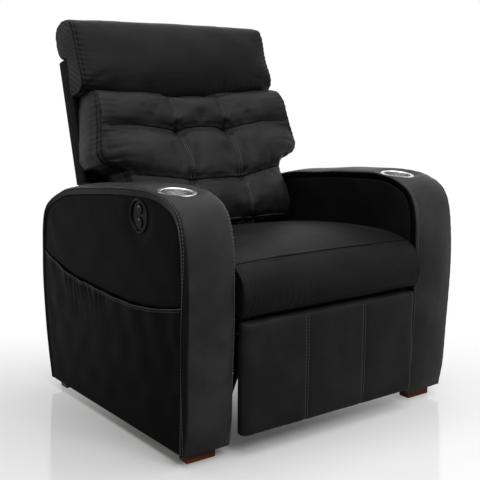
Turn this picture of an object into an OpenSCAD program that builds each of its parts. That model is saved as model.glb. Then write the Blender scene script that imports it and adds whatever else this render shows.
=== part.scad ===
// Powered recliner seat for a cinema: two broad arms, boxed seat, tufted back and a footrest
// carried on a scissor linkage. Millimetres, +Z up, the front faces -Y, the floor is at Z 0.
// "Right" and "left" are the sitter's own, so the right arm stands at -X.

/* [Overall] */
// Width over both arms
overall_w = 862; // [790:2:930]
// Depth from the seat's front roll to the rear of the headrest
overall_d = 855; // [825:5:885]

/* [Arms] */
// Width of one arm
arm_w = 131; // [120:1:140]
// How far the arm's rear stands ahead of the headrest's rear
arm_rear_gap = 82; // [60:1:110]
// Height of an arm above its feet
arm_h = 585; // [560:1:620]
// How far the arm's front stands behind the seat's front roll
arm_setback = 40; // [30:1:50]
// Thickness of the padded band at its seams
band_t = 12; // [10:1:16]
// How far the band bulges between its seams
band_crown = 22; // [8:1:26]
// How far the band bulges sideways past its outer seam
band_side_bulge = 6; // [2:0.5:8]
// Thickness of the padded outer side panel
outer_panel_t = 14; // [12:1:18]
// Thickness of the padded inner side panel
inner_panel_t = 8; // [6:1:10]
// How far a side panel lies inside the band's edge
panel_sink = 2; // [1:0.5:3]
// Thickness of the plies that form an arm frame's sides
ply_t = 12; // [9:1:15]
// Depth of the rail that joins the two plies of an arm frame
arm_rail_t = 22; // [18:1:30]

/* [Feet] */
// Width of a foot block
foot_w = 79; // [60:1:85]
// Depth of a foot block
foot_d = 32; // [28:1:60]
// Height of a foot block
foot_h = 27; // [20:1:40]
// Distance from the arm's outer side to the foot
foot_inset = 21; // [16:1:30]
// Distance from the arm's front or rear foot of the band to the foot block
foot_setback = 24; // [20:1:60]
// Chamfer round the foot's lower edge
foot_chamfer = 2; // [1:0.5:4]

/* [Cup holders] */
// Radius of the steel flange
cup_flange_r = 45.8; // [44:0.2:50]
// Inner radius of the cup
cup_r = 36.5; // [34:0.5:38]
// Depth of the cup below its flange
cup_depth = 74; // [60:1:85]
// Thickness of the pressed steel
cup_wall = 1.2; // [1:0.1:2]
// Tilt of the cup towards the front
cup_tilt = 7; // [4:1:9]
// Distance from the arm's front to the cup's centre
cup_setback = 129; // [120:1:150]

/* [Side pocket] */
// Thickness of the pocket's leather
pocket_skin_t = 2; // [1.5:0.5:2]
// Depth of the pocket behind its leather
pocket_gap = 7.5; // [6:0.5:8]
// Height of the open mouth above the leather's free edge
pocket_mouth = 14; // [10:1:20]
// Width of the sewn margin round the pocket
pocket_margin = 10; // [8:1:14]

/* [Control] */
// Radius of the round control on the arm
control_r = 41; // [38:1:44]
// Depth of the control's housing behind its rim
control_depth = 10; // [9:0.5:11]
// How far the control's dished face lies behind its rim
control_dish = 4; // [3:0.5:5]
// Distance from the arm's front to the control's centre
control_setback = 193; // [180:1:210]
// Distance from the arm's top down to the control's centre
control_drop = 58; // [52:1:80]
// Radius of a push button
button_r = 13; // [11:0.5:14]
// Distance between the two buttons
button_pitch = 31; // [30:1:34]
// Travel of a push button
button_travel = 1.5; // [1:0.5:2]

/* [Seat] */
// Gap between the seat cushion and an arm
seat_side_gap = 4; // [2:1:14]
// How far the cushion's rear stands ahead of the headrest's rear
seat_rear_gap = 308; // [300:1:325]
// Height of the cushion's underside above the floor
seat_z = 331; // [325:1:345]
// Thickness of the cushion at its side seams
seat_t = 139; // [120:1:145]
// How far the cushion's middle stands above its side seams
seat_crown = 20; // [4:1:26]
// Depth of the rounding at the cushion's two ends
seat_end_round = 11; // [8:1:24]
// Depth of a seat frame board
seat_board_t = 22; // [18:1:28]
// Height of the seat frame's boards
seat_board_h = 26; // [24:1:28]
// Diameter of the spring wire
wire_d = 4; // [3.5:0.5:4]
// Number of seat springs
spring_count = 4; // [3:1:5]
// Number of bends in a seat spring
spring_bends = 14; // [10:2:14]
// Width of a seat spring
spring_w = 52; // [44:1:60]

/* [Footrest] */
// Gap between the footrest panel and an arm
rest_side_gap = 12; // [8:1:24]
// Height of the closed panel's lower edge above the floor
rest_z = 54; // [50:1:70]
// Gap between the closed panel's upper edge and the seat cushion
rest_top_gap = 8; // [6:1:30]
// How far the closed panel stands behind the seat's front roll
rest_setback = 10; // [6:1:16]
// Thickness of the padded face
rest_pad_t = 32; // [26:1:34]
// Thickness of the board behind the pad
rest_board_t = 12; // [10:1:15]
// Depth of the two sewn channels in the pad
rest_channel = 5; // [3:1:8]

/* [Footrest linkage] */
// Distance between the pivots of the long links
link_l = 165; // [155:1:168]
// Width of a link
link_w = 16; // [14:1:17]
// Thickness of a link plate
link_t = 4; // [3:0.5:4]
// Gap between neighbouring link plates
link_gap = 3; // [3:0.5:4]
// Radius of the rivets in the linkage
rivet_r = 4; // [3.5:0.5:4]
// Radial running clearance of a rivet
run_clear = 0.05; // [0.02:0.01:0.1]
// Distance from the cushion's underside down to the drive pivot
pivot_drop = 39; // [37:1:43]
// Radius of the torque tube
tube_r = 7.5; // [6.5:0.5:7.5]
// Wall of the torque tube
tube_wall = 2; // [1.5:0.5:2.5]

/* [Back] */
// Lean of the back behind vertical
back_tilt = 15; // [12:1:17]
// Distance from the cushion's underside down to the recline hinge
hinge_drop = 1; // [0:1:6]
// Distance of the recline hinge ahead of the headrest's rear
hinge_inset = 249; // [243:1:255]
// Length of the back from hinge height to the top of the shell
back_len = 600; // [580:1:620]
// Thickness of the upholstered shell
shell_t = 60; // [54:1:64]
// Wall of the upholstered shell
shell_wall = 12; // [10:1:14]
// How far the shell's edge above the arms lies inside the arms' outer sides
shell_inset = 105; // [99:1:120]
// Gap between the shell and an arm
shell_arm_gap = 11; // [8:1:24]
// Length of the headrest cushion
head_len = 230; // [220:1:240]
// Thickness of the headrest cushion
head_t = 132; // [120:1:140]
// How far the headrest's end lies inside the arms' outer sides
head_inset = 95; // [89:1:115]
// Thickness of the lumbar cushion at its side seams
lumbar_t = 142; // [130:1:150]
// How far the lumbar cushion's wings lie inside the arms' outer sides
lumbar_inset = 92; // [87:1:115]
// Sideways distance of a tuft from the middle
tuft_x = 83; // [70:1:90]
// Depth of a tuft
tuft_depth = 16; // [8:1:22]

/* [Drives] */
// Width of a drive rail
rail_w = 30; // [28:1:34]
// Height of a drive rail
rail_h = 24; // [22:1:24]
// Wall of a drive rail
rail_wall = 2.5; // [2:0.5:3]
// Radius of the drive motors
motor_r = 25; // [20:1:28]
// Length of the drive motors
motor_l = 78; // [60:1:84]
// Sideways distance of each drive from the middle
drive_x = 62; // [56:1:80]
// Radius of the crank that turns the torque tube
crank_r = 45; // [40:1:46]
// Radius of the crank that tips the back
recline_crank_r = 75; // [70:1:78]

/* [Hidden] */

// Roundness of true circles
$fn = 48;
// Overrun of every cut
over = 1;
// Gap that keeps a soft piece clear of what it rests on
soft_clear = 0.3;

// Colours
leather = [0.07, 0.07, 0.075];
dark_leather = [0.05, 0.05, 0.055];
steel = [0.62, 0.63, 0.65];
dark_steel = [0.22, 0.22, 0.24];
birch = [0.76, 0.62, 0.42];
mahogany = [0.30, 0.11, 0.06];
gloss_black = [0.02, 0.02, 0.02];
plastic = [0.12, 0.12, 0.13];

// Main places
y_front = -overall_d / 2;
y_rear = overall_d / 2;
arm_x_out = overall_w / 2 - band_side_bulge;
arm_x_in = arm_x_out - arm_w;
arm_mid_x = arm_x_out - arm_w / 2;
arm_y = y_front + arm_setback;
panel_x_out = arm_x_out - panel_sink;
ply_x_out = panel_x_out - outer_panel_t;
ply_x_in = arm_x_in + inner_panel_t;
arm_d = overall_d - arm_setback - arm_rear_gap;
control_z = arm_h - control_drop;
seat_w = 2 * (arm_x_in - seat_side_gap);
seat_d = overall_d - seat_rear_gap;
rest_w = 2 * (arm_x_in - rest_side_gap);
rest_h = seat_z - rest_top_gap - rest_z;
pivot_z = seat_z - pivot_drop;
hinge_z = seat_z - hinge_drop;
shell_half_w = arm_x_out - shell_inset;
shell_low_half_w = arm_x_in - shell_arm_gap;
head_half_w = arm_x_out - head_inset;
lumbar_half_w = arm_x_out - lumbar_inset;

// Small helpers
function mix(a, b, t) = a + (b - a) * t;
function clamp01(t) = min(1, max(0, t));
function smooth(t) = let (c = clamp01(t)) c * c * (3 - 2 * c);
function bell(t) = exp(-t * t);
function unit(v) = v / norm(v);

// Smooth curve through points, with a number of steps in each span
function curve_point(a, b, c, d, t) =
    (2 * b + (c - a) * t + (2 * a - 5 * b + 4 * c - d) * t * t + (3 * b - a - 3 * c + d) * t * t * t) / 2;
function curve(p, steps) = let (n = len(p)) concat(
    [for (i = [0:n - 2], k = [0:steps - 1])
        curve_point(p[max(i - 1, 0)], p[i], p[i + 1], p[min(i + 2, n - 1)], k / steps)],
    [p[n - 1]]);

// Outward normals of an open path that runs clockwise round its inside, in the Y-Z plane
function path_normal(p, i) =
    let (a = p[max(i - 1, 0)], b = p[min(i + 1, len(p) - 1)], d = unit(b - a)) [-d[1], d[0]];
function shifted(p, distance) = [for (i = [0:len(p) - 1])
    let (q = p[i] + distance * path_normal(p, i))
    [q[0], i == 0 || i == len(p) - 1 ? p[i][1] : q[1]]];

// Closed skin over a list of rings, each a closed loop of as many points, with a middle for each end
module loft(rings, inside_out = false, middles = []) {
    n = len(rings);
    m = len(rings[0]);
    first_middle = len(middles) > 0 ? middles[0] : [for (k = [0:2]) sum_of([for (p = rings[0]) p[k]]) / m];
    last_middle = len(middles) > 0 ? middles[1] : [for (k = [0:2]) sum_of([for (p = rings[n - 1]) p[k]]) / m];
    points = concat([for (ring = rings) each ring], [first_middle, last_middle]);
    side = [for (i = [0:n - 2], j = [0:m - 1]) let (a = i * m + j, b = i * m + (j + 1) % m)
        each [[a, a + m, b + m], [a, b + m, b]]];
    caps = [for (j = [0:m - 1]) each [
        [j, (j + 1) % m, n * m],
        [(n - 1) * m + (j + 1) % m, (n - 1) * m + j, n * m + 1]]];
    faces = concat(side, caps);
    polyhedron(points, inside_out ? [for (f = faces) [f[2], f[1], f[0]]] : faces);
}
function sum_of(v, i = 0) = i == len(v) ? 0 : v[i] + sum_of(v, i + 1);

// Plate of a flat outline drawn in Y and Z, from x upwards
module plate_x(x, t) {
    translate([x, 0, 0]) rotate([90, 0, 90]) linear_extrude(t) children();
}
// Round bar along X
module rod_x(x0, x1, at, r) {
    translate([x0, at[0], at[1]]) rotate([0, 90, 0]) cylinder(r = r, h = x1 - x0);
}
// Block between two corners
module block(low, high) {
    translate(low) cube(high - low);
}
module both_sides() {
    children();
    mirror([1, 0, 0]) children();
}
module right_side() {
    mirror([1, 0, 0]) children();
}
// Flat bar with round ends between two pivots
module bar(a, b, w) {
    d = unit(b - a) * w / 2;
    across = [-d[1], d[0]];
    translate(a) circle(w / 2);
    translate(b) circle(w / 2);
    polygon([a + across, a - across, b - across, b + across]);
}
module bore(at, r) {
    translate(at) circle(r);
}

// Arm outline from the front foot over the top to the rear foot, as shares of depth and height
arm_outline_shares = [
    [0.020, 0], [0.012, 0.195], [0.004, 0.472], [0, 0.706], [0.007, 0.841], [0.034, 0.928],
    [0.089, 0.974], [0.188, 1], [0.377, 0.991], [0.516, 0.976], [0.746, 0.944], [0.829, 0.920],
    [0.907, 0.880], [0.962, 0.826], [0.986, 0.745], [0.995, 0.622], [1, 0.474], [0.984, 0.227],
    [0.952, 0]
];
arm_path = curve([for (s = arm_outline_shares) [arm_y + s[0] * arm_d, foot_h + s[1] * arm_h]], 3);
arm_inner_path = shifted(arm_path, -band_t);
arm_top = [for (p = arm_path) if (p[1] > foot_h + arm_h * 0.91) p];
function arm_top_z(y) = lookup(y, arm_top);

// Cup holder place on the arm's top, where the band is pressed flat round the flange
cup_y = arm_y + cup_setback;
cup_z = arm_top_z(cup_y);
cup_dip = 26;
cup_bore_r = cup_r + cup_wall + soft_clear;
function near_cup(x, y) = 1 - smooth((norm([x - arm_mid_x, y - cup_y]) - cup_flange_r) / cup_dip);
function cup_plane_z(y) = cup_z + (y - cup_y) * tan(cup_tilt);

// The band's crown: fullest in front, lower on top and behind, and fading out at the floor
top_crown_share = 0.55;
rear_crown_share = 0.35;
rear_bulge_share = 0.2;
function behind(p) = smooth((p[0] - arm_y) / arm_d * 4 - 2.6);
function crown_at(p) =
    let (on_top = smooth((p[1] - foot_h) / arm_h * 3 - 2))
    band_crown * mix(1, top_crown_share, on_top) * mix(1, rear_crown_share, behind(p))
        * smooth((p[1] - foot_h) / arm_w + 0.4);

// Arm pieces, drawn for the left arm at +X
// Cross-section of the band: share of half its width, of the side bulge and of the crown
band_cross_shares = [
    [-1, 0, 0], [-1, 0, 0.26], [-0.92, 0, 0.56], [-0.72, 0, 0.82], [-0.38, 0, 0.97], [0, 0, 1],
    [0.38, 0, 0.97], [0.74, 0, 0.84], [0.95, 0.5, 0.62], [1, 1, 0.30], [1, 0, 0]
];
module arm_band() {
    rings = [for (i = [0:len(arm_path) - 1])
        let (p = arm_path[i], n = path_normal(arm_path, i), q = arm_inner_path[i])
        concat(
            [for (u = band_cross_shares)
                let (r = p + n * crown_at(p) * u[2],
                    bulge = u[1] * band_side_bulge * mix(1, rear_bulge_share, behind(p)),
                    x = arm_mid_x + u[0] * arm_w / 2 + bulge,
                    pressed = p[1] > foot_h + arm_h / 2 ? near_cup(x, r[0]) : 0)
                [x, r[0], max(mix(r[1], cup_plane_z(r[0]), pressed), foot_h)]],
            [[arm_x_out, q[0], q[1]], [arm_x_in, q[0], q[1]]])];
    color(leather) difference() {
        loft(rings);
        cup_place() {
            translate([0, 0, -cup_depth / 2]) cylinder(r = cup_bore_r, h = cup_depth);
            cylinder(r = cup_flange_r + soft_clear, h = cup_depth);
        }
    }
}
module cup_place() {
    translate([arm_mid_x, cup_y, cup_z]) rotate([cup_tilt, 0, 0]) children();
}
module arm_frame() {
    outline = shifted(arm_path, -band_t);
    inner = shifted(arm_path, -band_t - arm_rail_t);
    floor_z = foot_h;
    color(birch) difference() {
        union() {
            plate_x(ply_x_out - ply_t, ply_t) polygon(outline);
            plate_x(ply_x_in, ply_t) polygon(outline);
            plate_x(ply_x_in + ply_t, ply_x_out - ply_x_in - 2 * ply_t) difference() {
                polygon(outline);
                polygon(concat(
                    [for (p = inner) if (p[1] > floor_z + arm_rail_t) p],
                    [[inner[len(inner) - 1][0], floor_z + arm_rail_t], [inner[0][0], floor_z + arm_rail_t]]));
            }
        }
        cup_place() translate([0, 0, -cup_depth]) cylinder(r = cup_bore_r, h = cup_depth);
    }
}
module arm_panel(x, t) {
    plate_x(x, t) polygon(arm_inner_path);
}

// The cup holder: one pressed steel shell
cup_bottom_round = cup_r / 4;
cup_flange_t = cup_wall * 1.5;
module cup_holder() {
    outer_r = cup_r + cup_wall;
    outline = [
        [0, -cup_depth], [outer_r - cup_bottom_round, -cup_depth],
        [outer_r, -cup_depth + cup_bottom_round], [outer_r, 0], [cup_flange_r, 0],
        [cup_flange_r, cup_flange_t / 2], [cup_flange_r - cup_flange_t, cup_flange_t],
        [cup_r + cup_flange_t, cup_flange_t], [cup_r, 0],
        [cup_r, -cup_depth + cup_bottom_round], [cup_r - cup_bottom_round, -cup_depth + cup_wall],
        [0, -cup_depth + cup_wall]];
    color(steel) cup_place() rotate_extrude() polygon(outline);
}

// Pocket on the outer side of the right arm
pocket_edge_shares = [
    [1.06, 0.650], [0.98, 0.620], [0.86, 0.580], [0.76, 0.553], [0.56, 0.537], [0.42, 0.530],
    [0.28, 0.532], [0.17, 0.547], [0.083, 0.567], [0.010, 0.588], [-0.06, 0.610]
];
pocket_edge = curve([for (s = pocket_edge_shares) [arm_y + s[0] * arm_d, foot_h + s[1] * arm_h]], 2);
module pocket_shape(x, t, margin, lift) {
    floor_z = foot_h + margin;
    last = len(pocket_edge) - 1;
    intersection() {
        plate_x(x, t) polygon(shifted(arm_path, -band_t - margin));
        plate_x(x - over, t + 2 * over) polygon(concat(
            [for (p = pocket_edge) p + [0, lift]],
            [[pocket_edge[last][0], floor_z], [pocket_edge[0][0], floor_z]]));
    }
}
module side_pocket() {
    color(dark_leather) right_side() pocket_shape(panel_x_out, pocket_skin_t, 0, 0);
}
module pocket_recess() {
    pocket_shape(panel_x_out - pocket_gap, pocket_gap + over, pocket_margin, pocket_mouth);
}

// Round control on the right arm
control_at = [arm_y + control_setback, foot_h + control_z];
control_wall = 1.5;
control_rim = 5;
control_face_x = arm_x_out - control_dish;
button_clear = 0.3;
button_h = 5;
button_proud = button_travel + 1;
function button_at(k) = control_at + [0, k * button_pitch / 2];
module control_place(h) {
    translate([h, control_at[0], control_at[1]]) rotate([0, 90, 0]) children();
}
module control_bezel() {
    back_x = arm_x_out - control_depth;
    color(gloss_black) right_side() difference() {
        control_place(back_x) rotate_extrude() polygon([
            [0, 0], [control_r - control_rim, 0], [control_r - control_rim, control_depth - panel_sink],
            [control_r, control_depth - panel_sink], [control_r, control_depth - panel_sink / 2],
            [control_r - panel_sink, control_depth], [control_r - control_rim, control_depth],
            [control_r - control_rim - control_dish / 2, control_depth - control_dish],
            [0, control_depth - control_dish]]);
        for (k = [-1, 1])
            rod_x(back_x + control_wall, arm_x_out + over, button_at(k), button_r + button_clear);
    }
}
module push_button(k) {
    x = control_face_x - button_h + button_proud;
    color(plastic) right_side() {
        rod_x(x, x + button_h - button_clear, button_at(k), button_r);
        rod_x(x, x + button_h, button_at(k), button_r - button_h / 4);
    }
}
module control_well() {
    back_x = arm_x_out - control_depth;
    rod_x(back_x - soft_clear, panel_x_out + over, control_at, control_r - control_rim + soft_clear);
}

// Feet
foot_x = arm_x_out - foot_inset - foot_w;
function foot_y(front) = front
    ? arm_path[0][0] + foot_setback - band_t
    : arm_path[len(arm_path) - 1][0] - foot_setback + band_t - foot_d;
module foot(front) {
    y = foot_y(front);
    color(mahogany) difference() {
        block([foot_x, y, 0], [foot_x + foot_w, y + foot_d, foot_h]);
        for (x = [foot_x, foot_x + foot_w])
            translate([x, y - over, 0]) rotate([0, 45, 0])
                translate([-foot_chamfer / 2, 0, -foot_chamfer / 2])
                    cube([foot_chamfer, foot_d + 2 * over, foot_chamfer]);
    }
}

// Layers of the mechanism, counted inwards from the side plate
plate_t = 4;
seat_rail_w = 24;
plate_x_out = arm_x_in - seat_rail_w;
layer_pitch = link_t + link_gap;
function layer(k) = plate_x_out - plate_t - link_gap - link_t - (k - 1) * layer_pitch;
head_h = link_gap / 2;
rivet_head_share = 1.7;
eye_share = 0.6;
head_r = rivet_r * rivet_head_share;
// Rivet through two plates, with a head on each outer face
module rivet(at, inner_x, outer_x, inner_head = head_r) {
    rod_x(inner_x - head_h, inner_x, at, inner_head);
    rod_x(inner_x, outer_x, at, rivet_r);
    rod_x(outer_x, outer_x + head_h, at, head_r);
}

// Pivots of the footrest linkage, closed. Angles rise from straight forward.
function ahead(a) = [-cos(a), sin(a)];
rest_y = y_front + rest_setback;
board_back_y = rest_y + rest_pad_t + rest_board_t;
drive_angle = -97;
drive_swing = 105;
front_angle = 68;
board_gap = 21;
front_pivot_y = board_back_y + board_gap;
drive_pivot = [
    front_pivot_y + link_l * (cos(drive_angle) + cos(front_angle)),
    pivot_z];
elbow = drive_pivot + link_l * ahead(drive_angle);
rest_pivot = elbow + link_l * ahead(front_angle);
tail_share = 0.162;
lower_pivot_shares = [0.13, -0.138];
stay_foot_share = 0.188;
stay_head_shares = [-0.056, -0.188];
tail_clear_share = 0.027;
stay_clear_share = 0.15;
tail_l = link_l * tail_share;
tail_pivot = elbow - tail_l * ahead(front_angle);
lower_pivot = drive_pivot + link_l * lower_pivot_shares;
lower_dir = unit(tail_pivot - lower_pivot);
stay_foot = tail_pivot + link_l * stay_foot_share * lower_dir;
stay_head = rest_pivot + link_l * stay_head_shares;
tail_clear = link_l * tail_clear_share;
stay_clear = rivet_r * stay_clear_share;

// Recline hinge and the two crank pins
hinge = [y_rear - hinge_inset, hinge_z];
crank_angle = -142.5;
crank_pin = drive_pivot + crank_r * ahead(crank_angle);
recline_swing = 20;
recline_pin = hinge + recline_crank_r * [sin(recline_swing), -cos(recline_swing)];

// Seat levels
wire_rise = wire_d * sin(60);
frame_top = seat_z - wire_rise - soft_clear;
frame_bottom = frame_top - seat_board_h;
rear_pivot_gap = 58;
seat_board_gap = 2;
seat_frame_y0 = board_back_y + seat_board_gap;
seat_frame_y1 = hinge[0] - rear_pivot_gap - link_w / 2;

// Side plates with their ears
plate_low = 66;
plate_lip = 4;
ear_strap_share = 1.6;
rail_top = frame_bottom;
rail_bottom = rail_top - plate_low;
module side_plate() {
    ear = rivet_r + link_w / 2;
    front_y = drive_pivot[0] - ear;
    color(dark_steel) plate_x(plate_x_out - plate_t, plate_t) difference() {
        union() {
            polygon([
                [front_y, drive_pivot[1]], [front_y, rail_bottom + plate_low / 2],
                [front_y + plate_low / 2, rail_bottom], [hinge[0] - plate_low / 2, rail_bottom],
                [hinge[0] + ear, rail_top - plate_low / 2], [hinge[0] + ear, hinge[1]],
                [hinge[0] - ear, hinge[1]], [hinge[0] - ear - plate_lip, rail_top - plate_lip],
                [drive_pivot[0] + ear * 2, rail_top - plate_lip], [drive_pivot[0] + ear, drive_pivot[1]]]);
            bore(drive_pivot, ear);
            bore(hinge, ear);
            bar(lower_pivot, lower_pivot + [plate_low / 2, -plate_low / 4], ear * ear_strap_share);
        }
        bore(drive_pivot, rivet_r);
        bore(lower_pivot, rivet_r);
        bore(hinge, rivet_r);
    }
}
module seat_rail() {
    color(birch) block(
        [plate_x_out, drive_pivot[0] + link_w, rail_bottom],
        [arm_x_in, hinge[0] - link_w, rail_top]);
}
module fixed_rivets() {
    color(steel) both_sides() {
        rod_x(layer(1), plate_x_out, drive_pivot, rivet_r);
        rod_x(layer(3) - head_h, layer(3), lower_pivot, head_r);
        rod_x(layer(3), plate_x_out, lower_pivot, rivet_r);
        rod_x(layer(1) - head_h, layer(1), hinge, head_r);
        rod_x(layer(1), plate_x_out, hinge, rivet_r);
    }
}

// Footrest links
module link_plate(k) {
    color(dark_steel) both_sides() plate_x(layer(k), link_t) children();
}
module drive_links() {
    link_plate(1) difference() {
        union() {
            bar(drive_pivot, elbow, link_w);
            bore(drive_pivot, link_w * eye_share);
        }
        bore(drive_pivot, rivet_r + run_clear);
        bore(elbow, rivet_r);
    }
}
module drive_link_rivets() {
    color(steel) both_sides() rivet(elbow, layer(2), layer(1) + link_t);
}
module front_links() {
    link_plate(2) difference() {
        bar(tail_pivot, rest_pivot, link_w);
        bore(elbow, rivet_r + run_clear);
        bore(tail_pivot, rivet_r);
        bore(rest_pivot, rivet_r);
    }
}
module front_link_rivets() {
    color(steel) both_sides() {
        rivet(rest_pivot, layer(3), layer(2) + link_t);
        rivet(tail_pivot, layer(3), layer(2) + link_t, rivet_r + tail_clear + head_h);
    }
}
module lower_links() {
    link_plate(3) difference() {
        union() {
            bar(lower_pivot, stay_foot, link_w);
            bore(tail_pivot, rivet_r * 2 + tail_clear);
        }
        bore(lower_pivot, rivet_r + run_clear);
        bore(tail_pivot, rivet_r + tail_clear);
        bore(stay_foot, rivet_r);
    }
}
module lower_link_rivets() {
    color(steel) both_sides() rivet(stay_foot, layer(4), layer(3) + link_t);
}
module stay_links() {
    link_plate(4) difference() {
        bar(stay_foot, stay_head, link_w);
        bore(stay_foot, rivet_r + run_clear);
        bore(stay_head, rivet_r + stay_clear);
    }
}
bracket_flange = 24;
bracket_lip = 3;
bracket_low_share = 2.4;
module rest_brackets() {
    foot = board_back_y;
    top_z = rest_pivot[1] + link_w * eye_share;
    low_z = stay_head[1] - link_w * bracket_low_share;
    color(dark_steel) both_sides() {
        plate_x(layer(3), link_t) difference() {
            union() {
                polygon([
                    [foot, top_z], [foot, low_z], [foot + bracket_lip, low_z],
                    [stay_head[0] + link_w / 2, stay_head[1]],
                    [rest_pivot[0] + link_w / 2, rest_pivot[1]], [rest_pivot[0], top_z]]);
                bore(rest_pivot, link_w / 2);
                bore(stay_head, link_w / 2);
            }
            bore(rest_pivot, rivet_r + run_clear);
            bore(stay_head, rivet_r);
        }
        block(
            [layer(3) - bracket_flange, foot, low_z],
            [layer(3), foot + bracket_lip, top_z]);
    }
}
module rest_bracket_rivets() {
    color(steel) both_sides() rivet(stay_head, layer(4), layer(3) + link_t);
}
module torque_tube() {
    half_l = layer(1);
    cheek_t = link_t;
    cheek_x = drive_x - cheek_t - fork_t / 2 - link_gap;
    color(dark_steel) {
        difference() {
            rod_x(-half_l, half_l, drive_pivot, tube_r);
            rod_x(-half_l - over, half_l + over, drive_pivot, tube_r - tube_wall);
        }
        for (x = [cheek_x, 2 * drive_x - cheek_x - cheek_t])
            plate_x(x, cheek_t) difference() {
                bar(drive_pivot, crank_pin, link_w);
                bore(drive_pivot, tube_r);
            }
        rod_x(cheek_x, 2 * drive_x - cheek_x, crank_pin, rivet_r);
    }
}

// Footrest panel
rest_top = rest_z + rest_h;
rest_channel_x = rest_w / 6;
channel_w = 9;
board_margin = 12;
module rest_board() {
    color(birch) block(
        [-rest_w / 2 + board_margin, rest_y + rest_pad_t, rest_z + board_margin],
        [rest_w / 2 - board_margin, board_back_y, rest_top - board_margin]);
}
// Cross-section of the pad: share of thickness and of height, from the lower rear edge
rest_section_shares = [
    [0, 0.01], [0.45, 0], [0.85, 0.012], [0.98, 0.06], [1, 0.2], [1, 0.5], [1, 0.8], [0.98, 0.94],
    [0.85, 0.988], [0.45, 1], [0, 0.99]
];
rest_station_shares = [-1, -0.985, -0.93, -0.8, -0.55];
module rest_pad() {
    half = rest_w / 2;
    near = [for (k = [-1.3, -0.7, 0, 0.7, 1.3]) rest_channel_x + k * channel_w];
    stations = concat(
        [for (s = rest_station_shares) s * half],
        [for (i = [4:-1:0]) -near[i]], [0], near,
        [for (i = [4:-1:0]) -rest_station_shares[i] * half]);
    rings = [for (x = stations)
        let (end = clamp01((abs(x) - half * 0.93) / (half * 0.07)),
            full = 1 - 0.3 * end * end,
            dip = rest_channel * bell((abs(x) - rest_channel_x) / channel_w))
        [for (s = rest_section_shares)
            let (t = s[0] * (rest_pad_t * full - dip * s[0] * s[0]))
            [x, rest_y + rest_pad_t - t, rest_z + s[1] * rest_h]]];
    color(leather) difference() {
        loft([for (ring = rings) [for (i = [len(ring) - 1:-1:0]) ring[i]]]);
        block(
            [-half, rest_y + rest_pad_t - soft_clear, rest_z - over],
            [half, board_back_y, rest_top + over]);
    }
}

// Cross rails, rear panel and electrics
cross_rail_t = 25;
cross_rail_h = 62;
cross_drop = 22;
front_rail_share = 0.3;
rear_rail_lead = 9;
cross_top = rail_bottom - cross_drop;
front_rail_y = drive_pivot[0] + link_l * front_rail_share;
rear_rail_y = hinge[0] - rear_rail_lead;
module cross_rail(y) {
    color(birch) block([-arm_x_in, y, cross_top - cross_rail_h], [arm_x_in, y + cross_rail_t, cross_top]);
}
rear_panel_t = 12;
rear_panel_y = rear_rail_y + cross_rail_t;
inlet_r = 9;
inlet_depth = 22;
inlet_share = 0.7;
inlet_x = arm_x_in * inlet_share;
inlet_z = cross_top - cross_rail_h / 2;
rear_panel_low = 60;
rear_panel_rise = 22;
module rear_panel() {
    color(leather) difference() {
        block(
            [-arm_x_in + soft_clear, rear_panel_y, rear_panel_low],
            [arm_x_in - soft_clear, rear_panel_y + rear_panel_t, cross_top + rear_panel_rise]);
        translate([inlet_x, rear_panel_y - over, inlet_z]) rotate([-90, 0, 0])
            cylinder(r = inlet_r, h = rear_panel_t + 2 * over);
    }
}
module power_inlet() {
    lip = 3;
    wall = 2;
    color(plastic) translate([inlet_x, rear_panel_y, inlet_z]) rotate([-90, 0, 0]) difference() {
        union() {
            cylinder(r = inlet_r, h = rear_panel_t);
            translate([0, 0, rear_panel_t]) cylinder(r = inlet_r + lip, h = wall);
        }
        translate([0, 0, wall]) cylinder(r = inlet_r - wall, h = rear_panel_t + wall);
        translate([0, 0, wall]) cylinder(r = wall, h = rear_panel_t);
    }
}
box_w = 150;
box_d_share = 0.1625;
box_d = (rear_rail_y - front_rail_y) * box_d_share;
box_h = 42;
module control_box() {
    fin_count = 6;
    fin_t = 3;
    y = rear_rail_y - box_d;
    color(plastic) difference() {
        block([-box_w / 2, y, cross_top - cross_rail_h], [box_w / 2, rear_rail_y, cross_top - cross_rail_h + box_h]);
        for (i = [1:fin_count])
            block(
                [-box_w / 2 + i * box_w / (fin_count + 1) - fin_t / 2, y - over, cross_top - cross_rail_h + box_h - fin_t],
                [-box_w / 2 + i * box_w / (fin_count + 1) + fin_t / 2, rear_rail_y - fin_t * 3,
                    cross_top - cross_rail_h + box_h + over]);
    }
}

// Drives: a channel rail, a gearmotor at one end and a carriage with a fork
rail_z = cross_top;
fork_t = 6;
sleeve_l = 56;
sleeve_wall = 4;
sleeve_clear = 0.5;
gearbox_l = 62;
gearbox_h = 46;
gearbox_w = 52;
fork_slot_extra = 3.2;
fork_prong = 9;
fork_strap = 16;
fork_heel = 13;
module drive_rail(x) {
    color(steel) translate([x, front_rail_y, rail_z]) rotate([90, 0, 180])
        mirror([0, 0, 0]) linear_extrude(rear_rail_y + cross_rail_t - front_rail_y) difference() {
            translate([-rail_w / 2, 0]) square([rail_w, rail_h]);
            translate([-rail_w / 2 + rail_wall, rail_wall])
                square([rail_w - 2 * rail_wall, rail_h - 2 * rail_wall]);
            translate([-rail_wall * 2, rail_h / 2]) square([rail_wall * 4, rail_h]);
        }
}
module gearmotor(x, y) {
    color(plastic) difference() {
        union() {
            block(
                [x - gearbox_w / 2, y, rail_z - gearbox_h / 2],
                [x + gearbox_w / 2, y + gearbox_l, rail_z + rail_h + gearbox_h / 4]);
            translate([x, y + gearbox_l / 2, rail_z - gearbox_h / 2 - motor_l])
                cylinder(r = motor_r, h = motor_l);
        }
        block(
            [x - rail_w / 2, y - over, rail_z], [x + rail_w / 2, y + gearbox_l + over, rail_z + rail_h]);
    }
}
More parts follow.
